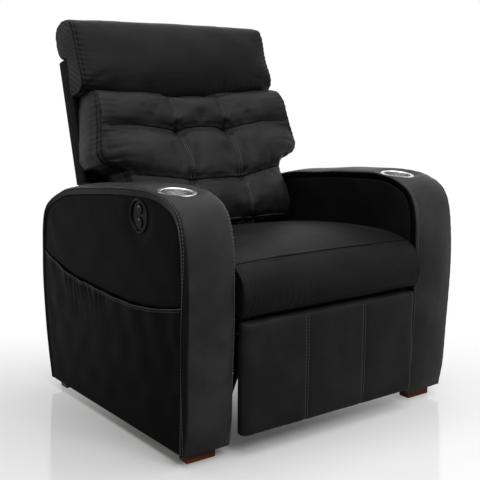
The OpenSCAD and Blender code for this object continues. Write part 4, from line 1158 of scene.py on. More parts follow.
@dataclass
class PocketArm(Arm):
    """The sitter's right arm, with a side pocket and the round control."""

    pocket_gap: float = 7.5
    mouth: float = 1.5
    pocket_bulge: float = 6.0
    control_r: float = 38.0
    control_setback: float = 193.0
    control_z: float = 554.0
    pocket_edge: Points = field(init=False)

    def __post_init__(self) -> None:
        """Draws the outline and the pocket's edge."""
        super().__post_init__()
        self.pocket_edge = spline(self.in_outline(POCKET_EDGE[::-1]), 8)

    def edge_z(self, y: np.ndarray) -> np.ndarray:
        """Height of the pocket's free edge."""
        return np.interp(y, self.pocket_edge[:, 0], self.pocket_edge[:, 1])

    def split(self, lift: float) -> tuple[Points, Points, Points]:
        """The outline above and below the pocket's edge, and the edge between them.

        Args:
            lift: How far above the pocket's free edge the split lies.

        Returns:
            The upper outline, the lower outline and the edge, all from front to rear.
        """
        count = 170
        path = resampled(self.inner_path, 900)
        above = np.flatnonzero(path[:, 1] > self.edge_z(path[:, 0]) + lift)
        first, last = above[0], above[-1]
        y = np.linspace(path[first, 0], path[last, 0], count)
        edge = np.column_stack([y, self.edge_z(y) + lift])
        below = np.vstack([path[first::-1], path[:last - 1:-1]])
        return resampled(path[first:last + 1], count), resampled(below, count), edge

    def build_outer_panel(self, finishes: Finishes) -> None:
        """Makes the upper cover, the pocket with its hem, and the lining behind the mouth."""
        # The cover, lining and pocket take the darkest copy of the leather, which is painted shade
        face = self.panel_x
        floor_x = face - self.pocket_gap
        upper, _, mouth = self.split(self.mouth)

        def back_x(p: Points) -> np.ndarray:
            """The plane behind the cover and the lining."""
            return np.full(len(p), self.panel_back_x)

        def cover_x(p: Points) -> np.ndarray:
            """The cover: soft, flat round the control and rolled in at the mouth."""
            x = self.sheet_x(p, face, self.edge_sink, self.outer_puff, 51)
            far = np.hypot(p[:, 0] - self.front_y - self.control_setback, p[:, 1] - self.control_z)
            x = mix(x, np.full(len(p), face - 0.1), 1 - smooth((far - 42) / 30))
            d = p[:, 1] - self.edge_z(p[:, 0]) - self.mouth
            return x - 6.0 * np.exp(-d / 3.5) + 0.6 * bell((d - 16) / 9)

        cover = self.sheet(f"{self.name}_upper_cover", upper, mouth, cover_x, back_x, 40)

        def control_place(points: Points) -> Points:
            """Points about the control's axis, in place."""
            return self.turned(np.column_stack([
                face - 20 + points[:, 2], self.front_y + self.control_setback + points[:, 0],
                self.control_z + points[:, 1]]))

        bore_r = self.control_r - 1.6
        cut_away(cover, lathe_cutter(
            "control_bore", ((0, 0), (bore_r, 0), (bore_r, 40), (0, 40)), control_place))
        dress(cover, finishes.painted_shade_leather, Body.BASE, Slot.LEATHER, [f"{self.name}_outer_panel"])

        _, below, low_mouth = self.split(self.mouth + 0.5)
        lining = self.sheet(
            f"{self.name}_pocket_lining", low_mouth, below, lambda p: np.full(len(p), floor_x) - 0.1,
            back_x, 12)
        dress(lining, finishes.painted_shade_leather, Body.BASE, Slot.LEATHER)

        _, below, edge = self.split(0.0)
        span = (edge[0, 0], edge[-1, 0])

        def skin_x(p: Points) -> np.ndarray:
            """The pocket: bulged below its edge, gathered towards the rear."""
            drop = np.maximum(self.edge_z(p[:, 0]) - p[:, 1], 0)
            share = np.clip((p[:, 0] - span[0]) / (span[1] - span[0]), 0, 1)
            d = edge_distance(p, below)
            belly = self.pocket_bulge * np.sin(np.pi * share) ** 0.7 * np.exp(-drop / 150)
            belly = belly * (1 - np.exp(-d / 45))
            rear = bell((share - 0.68) / 0.2)
            bent = p[:, 0] / 29 + 0.32 * np.sin(p[:, 0] / 23) + 0.2 * np.sin(p[:, 0] / 11 + drop / 19)
            gathers = np.sin(2 * np.pi * bent + drop / 22) * np.exp(-drop / 46) * rear * 1.3
            drape = np.sin(2 * np.pi * (p[:, 0] + 0.35 * drop) / 92) * np.exp(-drop / 95) * 0.9
            loose = Ripple(0.8, 120.0, 61).at(p) * smooth(d / 40)
            return self.out_x - 0.6 * np.exp(-d / 4) + belly + (gathers + drape) * smooth(d / 30) + loose

        skin = self.sheet(f"{self.name}_pocket_skin", edge, below, skin_x, lambda p: skin_x(p) - 2.0, 60)
        dress(skin, finishes.painted_shade_leather, Body.BASE, Slot.LEATHER, ["side_pocket"])
        # The hem takes a lighter leather, which is a painted highlight along the pocket's edge
        hem_line = np.column_stack([skin_x(edge) - 0.4, edge[:, 0], edge[:, 1] + 0.6])
        hem = tube(f"{self.name}_pocket_hem", self.turned(hem_line), 1.5)
        dress(hem, finishes.piping, Body.BASE, Slot.LEATHER)
        sewn = edge[3:-3] - np.array([0.0, 5.0])
        StitchRows.add(Body.BASE, [self.turned(np.column_stack([skin_x(sewn) + 0.2, sewn]))])


class StitchRows:
    """Seam lines gathered body by body until they are sewn."""

    lines: dict[Body, list[Points]] = {}

    @classmethod
    def add(cls, body: Body, lines: Sequence[Points]) -> None:
        """Keeps lines to be sewn on a body."""
        cls.lines.setdefault(body, []).extend(lines)

    @classmethod
    def sew(cls, finishes: Finishes) -> None:
        """Sews every kept line."""
        tree = StitchTree(finishes.thread)
        for body, lines in cls.lines.items():
            tree.sew(f"{body.value}_stitches", lines, body)


@dataclass
class ControlMarks:
    """Raised arrows on the two push buttons."""

    face_x: float = 423.5
    centre_y: float = -194.5
    centre_z: float = 554.0
    size: float = 3.6

    ARROW = (
        (-0.9, -0.55), (0, -0.6), (0.9, -0.55), (0.55, 0.15), (0, 0.95), (-0.55, 0.15), (-0.9, -0.55),
    )
    # Name, height above the control's centre, which way the arrow points, and the button's body
    PLACES = (("open_mark", 22.0, 1, Body.OPEN_BUTTON), ("close_mark", -8.5, -1, Body.CLOSE_BUTTON))

    def build(self, finishes: Finishes) -> None:
        """Makes one arrow on each button."""
        corners = spline(self.ARROW, 3)[:-1]
        for name, rise, way, body in self.PLACES:
            rings = []
            for x, share in ((-0.3, 0.9), (0.3, 1.0), (0.5, 0.9), (0.55, 0.5)):
                rings.append(np.column_stack([
                    np.full(len(corners), -(self.face_x + x)),
                    self.centre_y + corners[:, 0] * self.size * share,
                    self.centre_z + rise + way * corners[:, 1] * self.size * share]))
            dress(loft(name, np.array(rings)), finishes.mark, body, Slot.BUTTON)


# Seat and footrest


# Shares of depth and height, from the rear foot over the top to the front foot
SEAT_PROFILE = (
    (1, 0), (1, 0.52), (0.985, 0.70), (0.93, 0.80), (0.836, 0.86), (0.688, 0.912), (0.427, 0.985),
    (0.264, 1), (0.172, 0.965), (0.135, 0.94), (0.098, 0.90), (0.090, 0.868), (0.082, 0.878),
    (0.050, 0.785), (0.020, 0.63), (0, 0.36), (0.014, 0.11), (0.05, 0),
)


def sew_edge(name: str, line: Points, finish: bpy.types.Material, body: Body, radius: float = 1.3) -> None:
    """Lays the turned-in edge of a seam along a line.

    Args:
        name: Name of the piece.
        line: Points of the seam.
        finish: Its material.
        body: The body that it rides on.
        radius: Radius of the folded edge.
    """
    dress(tube(name, line, radius, 8), finish, body, Slot.LEATHER)


@dataclass
class SeatCushion:
    """The seat: a flat cushion and a front roll in one cover, with a cross seam between them."""

    width: float = 580.0
    depth: float = 547.0
    front_y: float = -427.5
    low_z: float = 331.0
    height: float = 139.0
    crown: float = 20.0
    end_round: float = 11.0
    arm_x: float = 293.2
    seam_share: float = 0.090
    stuffing: Stuffing = Stuffing(pressure=1.6, start_inset=3.0, slack=0.006, fullness=5.0, calm=8)

    @property
    def seam_y(self) -> float:
        """Where the cross seam lies."""
        return self.front_y + self.seam_share * self.depth

    def rings(self) -> Points:
        """Rings across the seat, from arm to arm."""
        profile = spline(SEAT_PROFILE, 8)
        half = self.width / 2
        x = crosswise(97, 1.35) * half
        s, h = profile[:, 0][None, :], profile[:, 1][None, :]
        inset = end_inset(x, half, self.end_round)[:, None]
        swell = (1 - (x / half) ** 2)[:, None]
        top = smooth((h - 0.5) * 2) * smooth(s * 4) * smooth((1 - s) * 3)
        y = np.tile(self.front_y + s * self.depth, (len(inset), 1))
        z = self.low_z + np.clip(h, 0, 1) * self.height + self.crown * swell * top
        middle = self.front_y + self.depth / 2
        y = middle + (y - middle) * (1 - inset * 2 / self.depth)
        z = self.low_z + (z - self.low_z) * (1 - inset / self.height)
        return np.stack([np.broadcast_to(x[:, None], y.shape), y, z], axis=2)

    def held(self, p: Points) -> np.ndarray:
        """Where the board, the ends and the cross seam hold the leather."""
        under = p[:, 2] < self.low_z + 7
        ends = (np.abs(p[:, 0]) > self.width / 2 - 9) & (p[:, 2] < self.low_z + self.height * 0.8)
        rear = p[:, 1] > self.front_y + self.depth - 12
        seam = (np.abs(p[:, 1] - self.seam_y) < 5) & (p[:, 2] > self.low_z + self.height * 0.7)
        return np.where(under | seam, HELD_FAST, np.where(rear | ends, HELD_PARTLY, 0.0))

    def creases(self, p: Points) -> np.ndarray:
        """Depth of the cross seam, and of the gathers beside it and at the roll's ends."""
        x, y, z = p.T
        on_top = smooth((z - self.low_z - self.height * 0.6) / 20)
        depth = 2.6 * bell((y - self.seam_y) / 2.6) * on_top
        side = np.abs(x)
        near = np.exp(-np.abs(y - self.seam_y) / 16) * on_top
        depth += 0.25 * near * wave(x, 29, (2.4, 61))
        face = smooth((self.seam_y - 6 - y) / 12)
        ends = np.exp(-(self.width / 2 - side) / 36)
        bent = side + 5.0 * np.sin(z / 24 + x / 90)
        gathers = np.sin(2 * np.pi * bent / 14 + 1.3 * np.sin(side / 19))
        depth += np.where(x < 0, 1.7, 0.35) * face * ends * gathers
        wide = bell((x + 150) / 60) * face * smooth((self.low_z + 105 - z) / 60)
        depth += 0.45 * wide * wave(bent, 19)
        return depth + Ripple(0.9, 190.0, 21).at(p)

    def build(self, finishes: Finishes) -> None:
        """Makes the cushion."""
        piece = loft("seat_cushion_cover", self.rings())
        self.stuffing.fill(piece, self.held)
        press(piece, self.creases)
        points = positions(piece)
        points[:, 0] = np.clip(points[:, 0], -self.arm_x, self.arm_x)
        points[:, 2] = np.maximum(points[:, 2], self.low_z)
        points[:, 1] = np.maximum(points[:, 1], self.front_y - 5)
        set_positions(piece, points)
        # A darker copy of the leather, which is painted shade
        dress(piece, finishes.seat_leather_painted_shade, Body.BASE, Slot.LEATHER, ["seat_cushion"])
        count = 120
        x = np.linspace(-self.width / 2 + 12, self.width / 2 - 12, count)
        across = np.column_stack([x, np.full(count, self.seam_y), np.full(count, self.low_z + self.height)])
        # The cross seam's edge takes the near-black seam finish, which is painted shade
        sew_edge("seat_cross_seam", laid_on(piece, across, (0, 0, -1), 0.2), finishes.seam, Body.BASE, 1.6)


@dataclass
class FootrestPad:
    """The padded face of the footrest, with two sewn channels."""

    width: float = 564.0
    height: float = 274.0
    low_z: float = 49.0
    front_y: float = -417.5
    pad_t: float = 32.0
    channel: float = 2.2
    channel_w: float = 7.0
    stuffing: Stuffing = Stuffing(
        voxel=4.5, pressure=0.8, start_inset=0.6, slack=0.004, fullness=2.0, calm=10)

    # Shares of thickness and height, from the lower edge over the face to the upper edge
    SECTION = (
        (0, 0.01), (0.45, 0), (0.85, 0.012), (0.98, 0.06), (1, 0.2), (1, 0.5), (1, 0.8), (0.98, 0.94),
        (0.85, 0.988), (0.45, 1), (0, 0.99),
    )

    @property
    def channel_x(self) -> float:
        """How far each channel lies from the middle."""
        return self.width / 6

    def rings(self) -> Points:
        """Rings across the pad."""
        section = spline(self.SECTION, 5)
        half = self.width / 2
        x = crosswise(121, 1.3) * half
        end = np.clip((np.abs(x) - half * 0.93) / (half * 0.07), 0, 1)
        full = (1 - 0.45 * end**2.5)[:, None]
        out, up = section[:, 0][None, :], section[:, 1][None, :]
        t = out * self.pad_t * full
        round_end = (1 - 0.012 * end**3)[:, None]
        y = self.front_y + self.pad_t - t
        z = self.low_z + self.height * (0.5 + (up - 0.5) * round_end)
        return np.stack([np.broadcast_to(x[:, None], y.shape), y, z], axis=2)

    def channel_gap(self, p: Points) -> np.ndarray:
        """Distance from the nearer channel."""
        return np.abs(np.abs(p[:, 0]) - self.channel_x)

    def held(self, p: Points) -> np.ndarray:
        """Where the board, the rim and the channels hold the leather."""
        back = p[:, 1] > self.front_y + self.pad_t - 9
        rim = (p[:, 2] < self.low_z + 5) | (p[:, 2] > self.low_z + self.height - 5)
        return np.where(back | (self.channel_gap(p) < 4), HELD_FAST, np.where(rim, HELD_PARTLY, 0.0))

    def creases(self, p: Points) -> np.ndarray:
        """Depth of the channels, and of the puckers beside them and along the rim."""
        x, y, z = p.T
        gap = self.channel_gap(p)
        face = smooth((self.front_y + 16 - y) / 10)
        depth = self.channel * bell(gap / self.channel_w) * face + 1.4 * bell(gap / 2.2) * face
        depth += 0.2 * face * np.exp(-gap / 14) * wave(z, 23, (2.0, 31))
        rim = np.minimum(z - self.low_z, self.low_z + self.height - z)
        depth += 0.25 * np.exp(-np.abs(rim) / 14) * wave(x, 27, (2.0, 43)) * face
        return depth + Ripple(0.6, 120.0, 27).at(p) * face

    def build(self, finishes: Finishes) -> None:
        """Makes the pad and its stitched channels."""
        piece = loft("footrest_pad_cover", self.rings())
        self.stuffing.fill(piece, self.held)
        press(piece, self.creases)
        points = positions(piece)
        points[:, 0] = np.clip(points[:, 0], -self.width / 2 - 4, self.width / 2 + 4)
        points[:, 1] = np.minimum(points[:, 1], self.front_y + self.pad_t - 0.3)
        points[:, 2] = np.clip(points[:, 2], self.low_z - 3, self.low_z + self.height + 3)
        set_positions(piece, points)
        dress(piece, finishes.leather, Body.FOOTREST, Slot.LEATHER, ["rest_pad"])
        count = 60
        z = np.linspace(self.low_z + 12, self.low_z + self.height - 12, count)
        for side in (-1, 1):
            for inset in (-3.8, 3.8):
                x = side * self.channel_x + inset
                line = np.column_stack([np.full(count, x), np.full(count, self.front_y), z])
                StitchRows.add(Body.FOOTREST, [laid_on(piece, line, (0, 1, 0))])


# Back


@dataclass
class BackPlace:
    """The back's own directions: across, up its slope and forwards out of its rear plane."""

    tilt: float = 15.0
    hinge_z: float = 330.0
    back_y: float = 263.5

    def __post_init__(self) -> None:
        """Works out the tilt's sine and cosine."""
        self.sin = math.sin(math.radians(self.tilt))
        self.cos = math.cos(math.radians(self.tilt))

    def out(self, points: Points) -> Points:
        """Points given across, up and forwards, in place."""
        x, s, n = points[..., 0], points[..., 1], points[..., 2]
        y = self.back_y + s * self.sin - n * self.cos
        z = self.hinge_z + s * self.cos + n * self.sin
        return np.stack([x, y, z], axis=-1)

    def inwards(self) -> tuple[float, float, float]:
        """The direction from the front into the back."""
        return 0.0, self.cos, -self.sin

    def back(self, points: Points) -> Points:
        """Points in place, given across, up and forwards."""
        y, z = points[..., 1] - self.back_y, points[..., 2] - self.hinge_z
        return np.stack([points[..., 0], y * self.sin + z * self.cos, z * self.sin - y * self.cos], axis=-1)


@dataclass
class ShellCover:
    """The leather over the back's shell, rounded at its rear edges."""

    place: BackPlace
    half_w: float = 325.0
    low_half_w: float = 284.0
    length: float = 603.0
    foot: float = -30.0
    step: float = 232.0
    ramp: float = 16.0
    thick: float = 60.0
    wall: float = 11.5
    edge_round: float = 6.0
    rear_crown: float = 2.5
    centre_s: float = 285.0
    foot_points: int = 39

    def outline(self, margin: float) -> Points:
        """The outline, moved in by a margin, with as many points each time."""
        wide, low = self.half_w - margin, self.low_half_w - margin
        top, foot, step = self.length - margin, self.foot + margin, self.step + margin
        corner = max(7.0 - margin * 0.3, 2.0)
        arc = [(wide - corner * (1 - math.cos(a)), top - corner * (1 - math.sin(a)))
               for a in np.linspace(0, np.pi / 2, 9)]
        side = [(low, foot), (low, step), (wide, step + self.ramp), *arc, (0.0, top)]
        counts = (26, 5, 30, *([2] * 8), 34)
        half = []
        for a, b, n in zip(side[:-1], side[1:], counts):
            half += [mix(np.array(a), np.array(b), t) for t in np.arange(n) / n]
        half = np.array(half + [np.array(side[-1])])
        other = half[-2::-1] * np.array([-1.0, 1.0])
        shares = np.concatenate([[0.002], np.arange(2, self.foot_points) / (self.foot_points + 1), [0.998]])
        foot_line = mix(np.array([-low, foot]), np.array([low, foot]), shares[:, None])
        return np.vstack([half, other, foot_line])

    def loose(self, line: Points, margin: float) -> np.ndarray:
        """How far the rear's leather stands out, which is least at the edge."""
        return Ripple(0.7, 140.0, 71).at(line) * smooth(margin / 40)

    def build(self, finishes: Finishes) -> None:
        """Makes the cover as one closed skin."""
        steps = [
            (self.wall, self.wall), (self.wall, self.thick - 2), (self.wall - 2, self.thick), (2, self.thick),
            (0.4, self.thick - 1.5), (0, self.thick - 4), (0, self.thick / 2),
        ]
        steps += [(self.edge_round * (1 - math.cos(a)), self.edge_round * (1 - math.sin(a)))
                  for a in np.linspace(0, np.pi / 2, 9)]
        steps += [(m, 0.0) for m in (14, 21, 30, 42)]
        rings = []
        for margin, n in steps:
            line = self.outline(margin)
            inside = smooth((margin - self.edge_round) / 110) if n == 0 else 0.0
            loose = self.loose(line, margin) if n == 0 else 0.0
            level = np.full(len(line), n)
            level[-self.foot_points:] = min(n, self.wall + 1)
            rings.append(np.column_stack([line, level - self.rear_crown * inside - loose]))
        flat = rings[-1]
        centre = np.array([0.0, self.centre_s, -self.rear_crown])
        for share in (0.2, 0.4, 0.6, 0.8, 0.93):
            rings.append(mix(flat, centre, share))
        middle = self.place.out(np.array([[0.0, self.centre_s, self.wall], centre]))
        piece = loft("back_shell_cover", self.place.out(np.array(rings)), middle)
        # The shell takes the darkest copy of the leather, which is painted shade
        dress(piece, finishes.painted_shade_leather, Body.BACK, Slot.LEATHER, ["back_shell"])
        seams = []
        for margin in (21.0, 26.0):
            line = self.outline(margin)[:-self.foot_points]
            seams.append(self.place.out(np.column_stack([line, -self.loose(line, margin) - 0.2])))
        StitchRows.add(Body.BACK, seams)


# By share of the cushion's length: its extra thickness, its half width, the thickness kept near
# its two ends, and how far its rows climb at the sides
LUMBAR_SWELL = (
    (0, 0.34), (0.04, 0.49), (0.13, 0.51), (0.26, 0.43), (0.359, 0.29), (0.45, 0.32), (0.55, 0.27),
    (0.66, 0.12), (0.76, -0.06), (0.85, 0.05), (0.93, 0.03), (1, -0.08),
)
LUMBAR_WIDTH = (
    (0, 0.80), (0.06, 0.835), (0.13, 0.85), (0.24, 0.82), (0.33, 0.775), (0.40, 0.80), (0.465, 0.97),
    (0.53, 1.01), (0.62, 1), (0.76, 0.975), (0.9, 0.955), (1, 0.925),
)
LUMBAR_FULL = (
    (0, 0.62), (0.025, 0.85), (0.07, 0.97), (0.13, 1), (0.87, 1), (0.93, 0.95), (0.97, 0.86), (1, 0.68),
)
LUMBAR_RISE = ((0, 0), (0.2, 0.02), (0.359, 0.083), (0.56, 0.075), (0.76, 0.052), (1, 0.110))


@dataclass
class LumbarCushion:
    """The tufted cushion: two cross seams, two upright seams, four tufts and boxed sides."""

    place: BackPlace
    half_w: float = 333.0
    start: float = 76.0
    length: float = 370.0
    thick: float = 142.0
    rear_n: float = 60.3
    tuft_x: float = 83.0
    tuft_depth: float = 16.0
    low_row: float = 0.359
    high_row: float = 0.76
    arch: float = 11.0
    outer_arch: float = 9.0
    gusset: float = 8.0
    stuffing: Stuffing = Stuffing(pressure=2.2, start_inset=3.0, slack=0.012, fullness=8.0, calm=6)

    # Folds on each side of a row: points out and up from its tuft, width and depth
    HIGH_FOLDS = (
        (((0, 0), (34, -30), (84, -50)), 5.5, 1.4), (((0, 0), (-4, 30), (-12, 66)), 3.8, 6.4),
        (((0, 0), (8, 32), (22, 70)), 3.8, 6.0), (((0, 0), (-16, 26), (-38, 54)), 4.5, 1.8),
        (((0, 0), (22, 26), (50, 50)), 4.5, 1.6), (((233, -76), (179, -64), (113, -66)), 7.0, 3.2),
        (((229, -104), (185, -96), (139, -100)), 6.0, 2.6),
    )
    LOW_FOLDS = ((((0, 0), (30, 24), (74, 42)), 5.0, 1.3), (((0, 0), (26, -26), (60, -46)), 5.0, 1.2))

    def half_at(self, f: np.ndarray) -> np.ndarray:
        """Half the cushion's width at a share of its length."""
        return lookup(f, LUMBAR_WIDTH) * self.half_w

    def rise(self, x: np.ndarray, half: np.ndarray, f: np.ndarray) -> np.ndarray:
        """How far a row climbs from the tufts to the sides."""
        out = np.clip((np.abs(x) - self.tuft_x) / (half - self.tuft_x), 0, 1)
        between = np.maximum(0, 1 - (x / self.tuft_x) ** 2)
        near_high = bell((f - self.high_row) * 6)
        bow = self.outer_arch * np.sin(np.pi * out) * near_high
        return lookup(f, LUMBAR_RISE) * self.length * out + self.arch * between * near_high + bow

    def front(self, x: np.ndarray, half: np.ndarray, f: np.ndarray) -> np.ndarray:
        """Thickness of the cushion before its seams are pulled in."""
        u = np.minimum(1, np.abs(x) / half)
        return self.thick * (1 + lookup(f, LUMBAR_SWELL) * (1 - u**3.4))

    def rings(self) -> Points:
        """Rings up the cushion."""
        rows = []
        for f in eased(96, 0.5):
            half, full = float(self.half_at(f)), float(lookup(f, LUMBAR_FULL))
            s = self.start + f * self.length
            x = crosswise(111, 1.25) * half
            skin = np.column_stack([
                x, s + self.rise(x, half, f), self.rear_n + self.front(x, half, f) * full])
            levels = np.linspace(0.93, 0.03, 14)
            bulge = half + self.gusset * full * np.sin(np.pi * levels) ** 0.6
            side_s = np.full(len(levels), s + float(self.rise(half, half, f)))
            right = np.column_stack([bulge, side_s, self.rear_n + self.thick * levels * full])
            back_x = np.linspace(half, -half, 41)
            rear = np.column_stack([
                back_x, s + self.rise(back_x, half, f), np.full(len(back_x), self.rear_n)])
            left = right[::-1] * np.array([-1.0, 1.0, 1.0])
            rows.append(np.vstack([skin, right, rear, left]))
        return self.place.out(np.array(rows))

    def flat(self, p: Points) -> tuple[np.ndarray, np.ndarray, np.ndarray, np.ndarray]:
        """Where points lie on the front: across, share of length, half width and forwards."""
        q = self.place.back(p)
        x, s, n = q[:, 0], q[:, 1], q[:, 2]
        f = np.clip((s - self.start) / self.length, 0, 1)
        for _ in range(3):
            f = np.clip((s - self.rise(x, self.half_at(f), f) - self.start) / self.length, 0, 1)
        return x, f, self.half_at(f), n

    def seams(self, x: np.ndarray, f: np.ndarray, half: np.ndarray,
              width: float) -> tuple[np.ndarray, np.ndarray]:
        """How near points lie to a seam, and to a tuft, from 0 to 1."""
        u = np.abs(x) / half
        rows = np.maximum(
            bell((f - self.low_row) * self.length / width), bell((f - self.high_row) * self.length / width))
        rows = rows * (1 - smooth((u - 0.8) / 0.25))
        upright = bell((np.abs(x) - self.tuft_x) / width) * smooth((0.80 - f) * 20)
        tuft = np.zeros(len(x))
        for row in (self.low_row, self.high_row):
            tuft = np.maximum(
                tuft, bell(np.hypot(np.abs(x) - self.tuft_x, (f - row) * self.length) / (2.0 * width)))
        return np.maximum(rows, upright), tuft

    def held(self, p: Points) -> np.ndarray:
        """Where seams, tufts and the frame hold the leather."""
        x, f, half, n = self.flat(p)
        seam, tuft = self.seams(x, f, half, 6.0)
        front = n > self.rear_n + self.thick * 0.55
        rear = n < self.rear_n + 6
        sides = np.abs(x) > half - 3
        fast = rear | (front & ((seam > 0.5) | (tuft > 0.4)))
        return np.where(fast, HELD_FAST, np.where(sides, HELD_LIGHTLY, 0.0))

    def creases(self, p: Points) -> np.ndarray:
        """Depth of the seams and tufts, of the folds from them, and of the gathered sides."""
        x, f, half, n = self.flat(p)
        front = smooth((n - self.rear_n - self.thick * 0.5) / 30)
        s = f * self.length
        seam, tuft = self.seams(x, f, half, 9.0)
        narrow, _ = self.seams(x, f, half, 2.6)
        _, deep = self.seams(x, f, half, 6.0)
        pulled = self.tuft_depth * 0.26 * seam + 3.0 * narrow + self.tuft_depth * 0.55 * tuft + 2.5 * deep
        depth = pulled * front
        low, high = self.low_row * self.length, self.high_row * self.length
        for side in (-1, 1):
            for row, reach in ((low, 46.0), (high, 60.0)):
                dx, ds = side * x - self.tuft_x, s - row
                far = np.hypot(dx, ds)
                angle = np.arctan2(ds, dx)
                fan = np.sin(7 * angle + 1.1 * side + (0.5 if row == high else 1.9))
                depth += 0.9 * fan * front * np.exp(-far / reach) * smooth(far / 14)
        near_low = np.exp(-np.abs(s - low) / 20)
        near_high = np.exp(-np.abs(s - high) / 24)
        depth += 0.3 * wave(x, 27, (2.5, 53)) * (near_low + near_high) * front
        full = lookup(f, LUMBAR_FULL)
        welt = n - self.rear_n - self.thick * full * 0.86
        outer = smooth((np.abs(x) - half * 0.9) / 16)
        depth += 2.4 * bell(welt / 2.6) * outer
        gather = wave(s, 14, (2.2, 23), (1.1, 9))
        depth += 0.9 * gather * np.exp(-np.abs(welt) / 26) * smooth((np.abs(x) - half * 0.8) / 30)
        for fold in self.folds():
            depth += fold.at(np.column_stack([x, s])) * front
        return depth + Ripple(0.8, 70.0, 81).at(p) * front

    def folds(self) -> list[Fold]:
        """The larger folds, in millimetres across and up the cushion."""
        made = []
        for side in (-1, 1):
            for row, folds in ((self.high_row, self.HIGH_FOLDS), (self.low_row, self.LOW_FOLDS)):
                for line, width, depth in folds:
                    points = [(side * (self.tuft_x + out), row * self.length + up) for out, up in line]
                    made.append(Fold(points, width, depth))
        return made

    def laid(self, piece: bpy.types.Object, x: np.ndarray, f: np.ndarray, full: np.ndarray | float,
             lift: float) -> Points:
        """A line laid on the finished cushion's front.

        Args:
            piece: The finished cushion.
            x: Where its points lie across.
            f: Their shares of the cushion's length.
            full: The share of the thickness from which they drop.
            lift: How far they stay above the leather.

        Returns:
            The points that meet the leather.
        """
        half = self.half_at(f)
        s = self.start + f * self.length + self.rise(x, half, f)
        n = self.rear_n + self.front(x, half, f) * full
        return laid_on(piece, self.place.out(np.column_stack([x, s, n])), self.place.inwards(), lift)

    def seam_lines(self, piece: bpy.types.Object) -> list[Points]:
        """The stitched lines beside the upright seams, laid on the finished cushion."""
        lines = []
        spans = ((0.05, self.low_row - 0.015), (self.low_row + 0.015, self.high_row - 0.02))
        for side in (-1, 1):
            for inset in (-4.0, 4.0):
                for low, high in spans:
                    f = np.linspace(low, high, 60)
                    x = np.full(len(f), side * self.tuft_x + inset)
                    lines.append(self.laid(piece, x, f, lookup(f, LUMBAR_FULL), 0.25))
        return lines

    def row_line(self, piece: bpy.types.Object, row: float) -> Points:
        """A cross seam laid on the finished cushion."""
        f = np.full(120, row)
        x = np.linspace(-0.93, 0.93, len(f)) * self.half_at(f)
        return self.laid(piece, x, f, 1.0, 0.2)

    def build(self, finishes: Finishes) -> None:
        """Makes the cushion."""
        piece = loft("lumbar_cushion_cover", self.rings())
        self.stuffing.fill(piece, self.held)
        press(piece, self.creases)
        q = self.place.back(positions(piece))
        q[:, 2] = np.maximum(q[:, 2], self.rear_n)
        set_positions(piece, self.place.out(q))
        dress(piece, finishes.leather, Body.BACK, Slot.LEATHER, ["lumbar_cushion"])
        StitchRows.add(Body.BACK, self.seam_lines(piece))
        # The row seams' edges take the near-black seam finish, which is painted shade
        for name, row in (("lumbar_low_seam", self.low_row), ("lumbar_high_seam", self.high_row)):
            sew_edge(name, self.row_line(piece, row), finishes.seam, Body.BACK)
        # The welt takes a lighter leather, which is a painted highlight along the cushion's lower edge
        sew_edge("lumbar_welt", self.row_line(piece, 0.035), finishes.piping, Body.BACK, 2.0)


# Shares of length and thickness, from behind the shell over the top to the lower edge in front
HEAD_ROLL = (
    (0.557, 0.14), (0.61, 0.05), (0.72, 0.005), (0.86, 0.01), (0.965, 0.11), (1, 0.38), (0.97, 0.62),
    (0.895, 0.83), (0.71, 0.94), (0.50, 1), (0.25, 1.0), (0.08, 0.94), (0, 0.74),
)


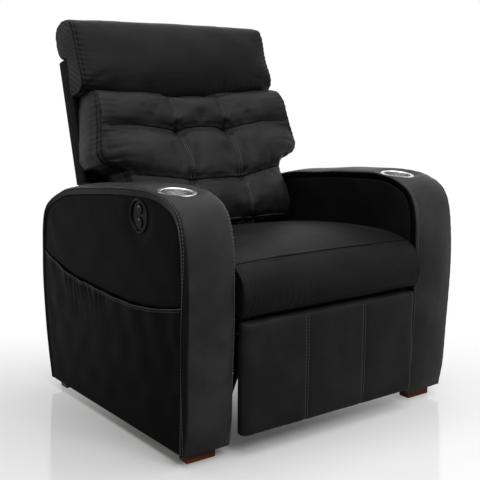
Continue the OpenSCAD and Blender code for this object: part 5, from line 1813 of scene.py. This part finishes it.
@dataclass
class HeadrestCushion:
    """The head cushion, lapped over the top of the shell."""

    place: BackPlace
    half_w: float = 330.0
    start: float = 476.0
    length: float = 230.0
    near_n: float = 10.0
    thick: float = 132.0
    shell_top: float = 600.3
    rear_n: float = 60.3
    crown: float = 16.0
    sag: float = 24.0
    corner_lift: float = 12.0
    end_flat: float = 20.0
    end_round: float = 5.0
    stuffing: Stuffing = Stuffing(
        voxel=5.0, pressure=1.6, start_inset=1.0, slack=0.008, fullness=5.5, calm=8)

    # In millimetres across and up from the start of the cushion
    FOLDS = (
        Fold(((-318, 20), (-284, 46), (-230, 60), (-160, 60)), 9.0, 1.5, 0.8),
        Fold(((318, 24), (280, 44), (224, 54), (160, 52)), 9.0, 1.3, 0.8),
        Fold(((-300, 120), (-220, 104), (-130, 108)), 14.0, 0.9, 0.8),
        Fold(((300, 112), (230, 98), (150, 104)), 14.0, 0.9, 0.8),
    )

    def rings(self) -> Points:
        """Rings across the cushion."""
        roll = spline(in_box(HEAD_ROLL, (self.start, self.near_n), (self.length, self.thick)), 9)
        roll[:, 0] = np.where(roll[:, 1] < self.rear_n, np.maximum(roll[:, 0], self.shell_top), roll[:, 0])
        low_rear = np.array([self.start, self.rear_n])
        ledge = np.array([self.shell_top, self.rear_n])
        behind = np.array([self.shell_top, self.near_n + self.thick * HEAD_ROLL[0][1]])
        inner = np.vstack([
            mix(low_rear, ledge, np.linspace(0, 1, 20)[:, None]),
            mix(ledge, behind, np.linspace(0.1, 1, 6)[:, None])])
        profile = np.vstack([inner, roll])
        fixed = np.arange(len(profile)) < len(inner)
        x = (crosswise(111, 1.35) * self.half_w)[:, None]
        inset = end_inset(x, self.half_w, self.end_round)
        swell = 1 - (x / self.half_w) ** 2
        s, n = profile[:, 0][None, :], profile[:, 1][None, :]
        ahead = np.where(n > self.rear_n + self.thick * 0.2, smooth((n - self.rear_n) / self.thick), 0)
        low = smooth(1 - (s - self.start) / (self.length * 0.4))
        s1 = s - self.sag * swell * low + self.corner_lift * (x / self.half_w) ** 4 * low
        high = bell((s - self.start - self.length * 0.56) / (self.length * 0.3))
        flat = np.abs(x / self.half_w) ** 5 * high
        n1 = n + self.crown * swell * ahead - self.end_flat * flat * ahead
        middle_s, middle_n = self.start + self.length / 2, self.near_n + self.thick / 2
        s2 = middle_s + (s1 - middle_s) * (1 - inset / self.length * 2 * (s1 > middle_s))
        n2 = np.where(n1 > middle_n, n1 - inset * (n1 - middle_n) / middle_n, n1)
        s3, n3 = np.where(fixed[None, :], s1, s2), np.where(fixed[None, :], n, n2)
        return self.place.out(np.stack([np.broadcast_to(x, s3.shape), s3, n3], axis=2))

    def held(self, p: Points) -> np.ndarray:
        """Where the shell, the ends and the lower edge hold the leather."""
        x, s, n = self.place.back(p).T
        inside = (n < self.rear_n + 5) & (s < self.shell_top + 5)
        ends = np.abs(x) > self.half_w - 6
        low = s < self.start + 4 - self.sag * (1 - (x / self.half_w) ** 2)
        return np.where(inside, HELD_FAST, np.where(ends | low, HELD_PARTLY, 0.0))

    def creases(self, p: Points) -> np.ndarray:
        """Depth of the end seams, the gathers and the soft folds."""
        x, s, n = self.place.back(p).T
        side = np.abs(x)
        ahead = smooth((n - self.rear_n) / 30)
        outer = smooth((n - self.rear_n + 20) / 20)
        welt = side - self.half_w + 7
        depth = 2.2 * bell(welt / 2.6) * outer
        run = s + 0.7 * n
        depth += 0.9 * wave(run, 15, (2.1, 27)) * np.exp(-np.abs(welt) / 22) * outer
        low = np.exp(-np.maximum(s - self.start + 12, 0) / 20) * ahead
        depth += low * wave(x, 19, (2.6, 57), (0.9, 13))
        for fold in self.FOLDS:
            depth += fold.at(np.column_stack([x, s - self.start])) * ahead
        return depth + Ripple(0.9, 90.0, 91).at(p)

    def build(self, finishes: Finishes) -> None:
        """Makes the cushion."""
        piece = loft("headrest_cushion_cover", self.rings())
        self.stuffing.fill(piece, self.held)
        press(piece, self.creases)
        q = self.place.back(positions(piece))
        under = (q[:, 1] < self.shell_top) & (q[:, 2] < self.rear_n)
        q[:, 2] = np.where(under & (q[:, 2] > self.rear_n - 12), self.rear_n, q[:, 2])
        set_positions(piece, self.place.out(q))
        # A darker copy of the leather, which is painted shade
        dress(piece, finishes.seat_leather_painted_shade, Body.BACK, Slot.LEATHER, ["headrest_cushion"])


# Frame parts and studio


class FrameParts:
    """The solids of the frame that stay, each with its finish."""

    BLACK_BOARDS = (
        "seat_frame", "rest_board", "back_frame", "left_seat_rail", "right_seat_rail", "front_cross_rail",
    )

    def __init__(self, finishes: Finishes) -> None:
        """Keeps the finishes that the solids take."""
        self.finishes = finishes

    def dress(self) -> None:
        """Gives every frame solid the finish of its slot."""
        by_slot = self.finishes.for_slot()
        for name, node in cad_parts.items():
            slots = node.material_slots
            for entry in slots:
                wanted = entry.material.name.split(".")[0] if entry.material else ""
                entry.material = by_slot.get(wanted, self.finishes.matt)
                if name in self.BLACK_BOARDS:
                    entry.material = self.finishes.black_ply
            log.info("%s keeps its solid (%s)", name, ", ".join(e.material.name for e in slots))


@dataclass
class Studio:
    """A pale floor, a white surround and soft boxes."""

    # Name, place, the point that it faces, width and height in metres, and power in watts
    BOXES = (
        ("top_box", (0.0, -0.5, 2.9), (0, 0, 0.4), (3.2, 3.0), 70.0),
        ("front_box", (-0.25, -2.5, 2.2), (-0.1, -0.3, 0.6), (1.4, 1.1), 38.0),
    )
    # Level direction in which the camera looks, along which the floor fades
    AHEAD = (0.5956, 0.8033, 0.0)

    floor_size: float = 9.0
    floor_colour: tuple[float, float, float] = (0.84, 0.84, 0.84)
    floor_dark: tuple[float, float, float] = (0.30, 0.30, 0.30)
    lift: float = 0.06
    fade: tuple[float, float] = (-0.40, 0.60)
    surround_light: float = 0.24
    lens: float = 65.80
    camera_at: tuple[float, float, float] = (-1.42804, -1.94203, 0.85456)
    yaw: float = -36.553
    pitch: float = -10.078
    roll: float = 0.250

    def build_camera(self) -> None:
        """Sets the camera at the photograph's angle."""
        yaw, pitch, roll = (math.radians(a) for a in (self.yaw, self.pitch, self.roll))
        ahead = np.array([-math.sin(yaw) * math.cos(pitch), math.cos(yaw) * math.cos(pitch), math.sin(pitch)])
        across = np.array([math.cos(yaw), math.sin(yaw), 0.0])
        up = np.cross(across, ahead)
        right = across * math.cos(roll) + up * math.sin(roll)
        above = -across * math.sin(roll) + up * math.cos(roll)
        data = bpy.data.cameras.new("camera")
        data.lens, data.sensor_width = self.lens, 36.0
        camera = bpy.data.objects.new("camera", data)
        rows = [tuple(row) for row in np.column_stack([right, above, -ahead, self.camera_at])]
        camera.matrix_world = Matrix([*rows, (0, 0, 0, 1)])
        bpy.context.scene.collection.objects.link(camera)
        bpy.context.scene.camera = camera

    def build_floor(self) -> None:
        """Lays the floor, which fades to white behind the seat."""
        size = self.floor_size / MM
        count = 5
        line = np.linspace(-size, size, count)
        points = np.stack(np.meshgrid(line, line, 0.0, indexing="ij"), axis=-1).reshape(-1, 3)
        floor = new_mesh("floor", points, grid_faces(count, count))
        tree = ShaderTree("studio_floor")
        at = tree.node("ShaderNodeTexCoord", {}, {}).outputs["Object"]
        away = tree.node("ShaderNodeVectorMath", {"operation": "DOT_PRODUCT"}, {0: at, 1: self.AHEAD})
        far = Value(tree, away.outputs["Value"]).between(*self.fade) * (1 - self.lift) + self.lift
        seen = tree.node("ShaderNodeLightPath", {}, {})
        camera = Value(tree, seen.outputs["Is Camera Ray"])
        direct = camera + Value(tree, seen.outputs["Is Glossy Ray"])
        grey = tree.node("ShaderNodeBsdfPrincipled", {}, {
            "Base Color": tree.colour(self.floor_dark, self.floor_colour, camera),
            "Roughness": 0.09, "Specular IOR Level": 0.42})
        white = tree.node("ShaderNodeEmission", {}, {"Color": (1, 1, 1, 1), "Strength": 1.0})
        mixed = tree.node(
            "ShaderNodeMixShader", {}, {0: far * direct, 1: grey.outputs[0], 2: white.outputs[0]})
        tree.material.node_tree.links.new(mixed.outputs[0], tree.output.inputs[0])
        floor.data.materials.append(tree.material)

    def build_surround(self) -> None:
        """Makes the white surround, bright to the camera and in reflections only."""
        world = bpy.data.worlds.new("surround")
        bpy.context.scene.world = world
        world.use_nodes = True
        nodes, links = world.node_tree.nodes, world.node_tree.links
        nodes.clear()
        path = nodes.new("ShaderNodeLightPath")
        first, second = nodes.new("ShaderNodeMath"), nodes.new("ShaderNodeMath")
        first.operation = second.operation = "MAXIMUM"
        links.new(path.outputs["Is Camera Ray"], first.inputs[0])
        links.new(path.outputs["Is Glossy Ray"], first.inputs[1])
        links.new(first.outputs[0], second.inputs[0])
        links.new(path.outputs["Is Transmission Ray"], second.inputs[1])
        soft, bright = nodes.new("ShaderNodeBackground"), nodes.new("ShaderNodeBackground")
        for light, strength in ((soft, self.surround_light), (bright, 1.0)):
            light.inputs["Color"].default_value = (1, 1, 1, 1)
            light.inputs["Strength"].default_value = strength
        either, out = nodes.new("ShaderNodeMixShader"), nodes.new("ShaderNodeOutputWorld")
        links.new(second.outputs[0], either.inputs[0])
        links.new(soft.outputs[0], either.inputs[1])
        links.new(bright.outputs[0], either.inputs[2])
        links.new(either.outputs[0], out.inputs[0])

    def soft_box(self, name: str, at: Sequence[float], aim: Sequence[float], size: Sequence[float],
                 power: float) -> None:
        """Adds one soft box.

        Args:
            name: Its name.
            at: Its place in metres.
            aim: The point that it faces.
            size: Its width and height.
            power: Its power in watts.
        """
        data = bpy.data.lights.new(name, "AREA")
        data.shape, data.size, data.size_y, data.energy = "RECTANGLE", size[0], size[1], power
        lamp = bpy.data.objects.new(name, data)
        lamp.rotation_euler = (Vector(at) - Vector(aim)).to_track_quat("Z", "Y").to_euler()
        lamp.location = at
        bpy.context.scene.collection.objects.link(lamp)

    def build(self) -> None:
        """Sets up the whole studio."""
        bpy.context.scene.view_settings.view_transform = "Standard"
        self.build_camera()
        self.build_floor()
        self.build_surround()
        for box in self.BOXES:
            self.soft_box(*box)


def build_seat_parts(finishes: Finishes) -> None:
    """Makes every soft piece of the seat."""
    left = Arm(side=1, name="left_arm")
    right = PocketArm(side=-1, name="right_arm")
    for arm in (left, right):
        StitchRows.add(Body.BASE, arm.build_band(finishes))
        arm.build_inner_panel(finishes)
        arm.build_outer_panel(finishes)
    ControlMarks().build(finishes)
    SeatCushion().build(finishes)
    FootrestPad().build(finishes)
    place = BackPlace()
    ShellCover(place).build(finishes)
    LumbarCushion(place).build(finishes)
    HeadrestCushion(place).build(finishes)
    StitchRows.sew(finishes)


def main() -> None:
    """Dresses the frame, builds the soft pieces and sets the studio."""
    logging.basicConfig(level=logging.INFO, format="%(name)s: %(message)s")
    finishes = Finishes()
    FrameParts(finishes).dress()
    build_seat_parts(finishes)
    Studio().build()


if __name__ == "__main__":
    main()
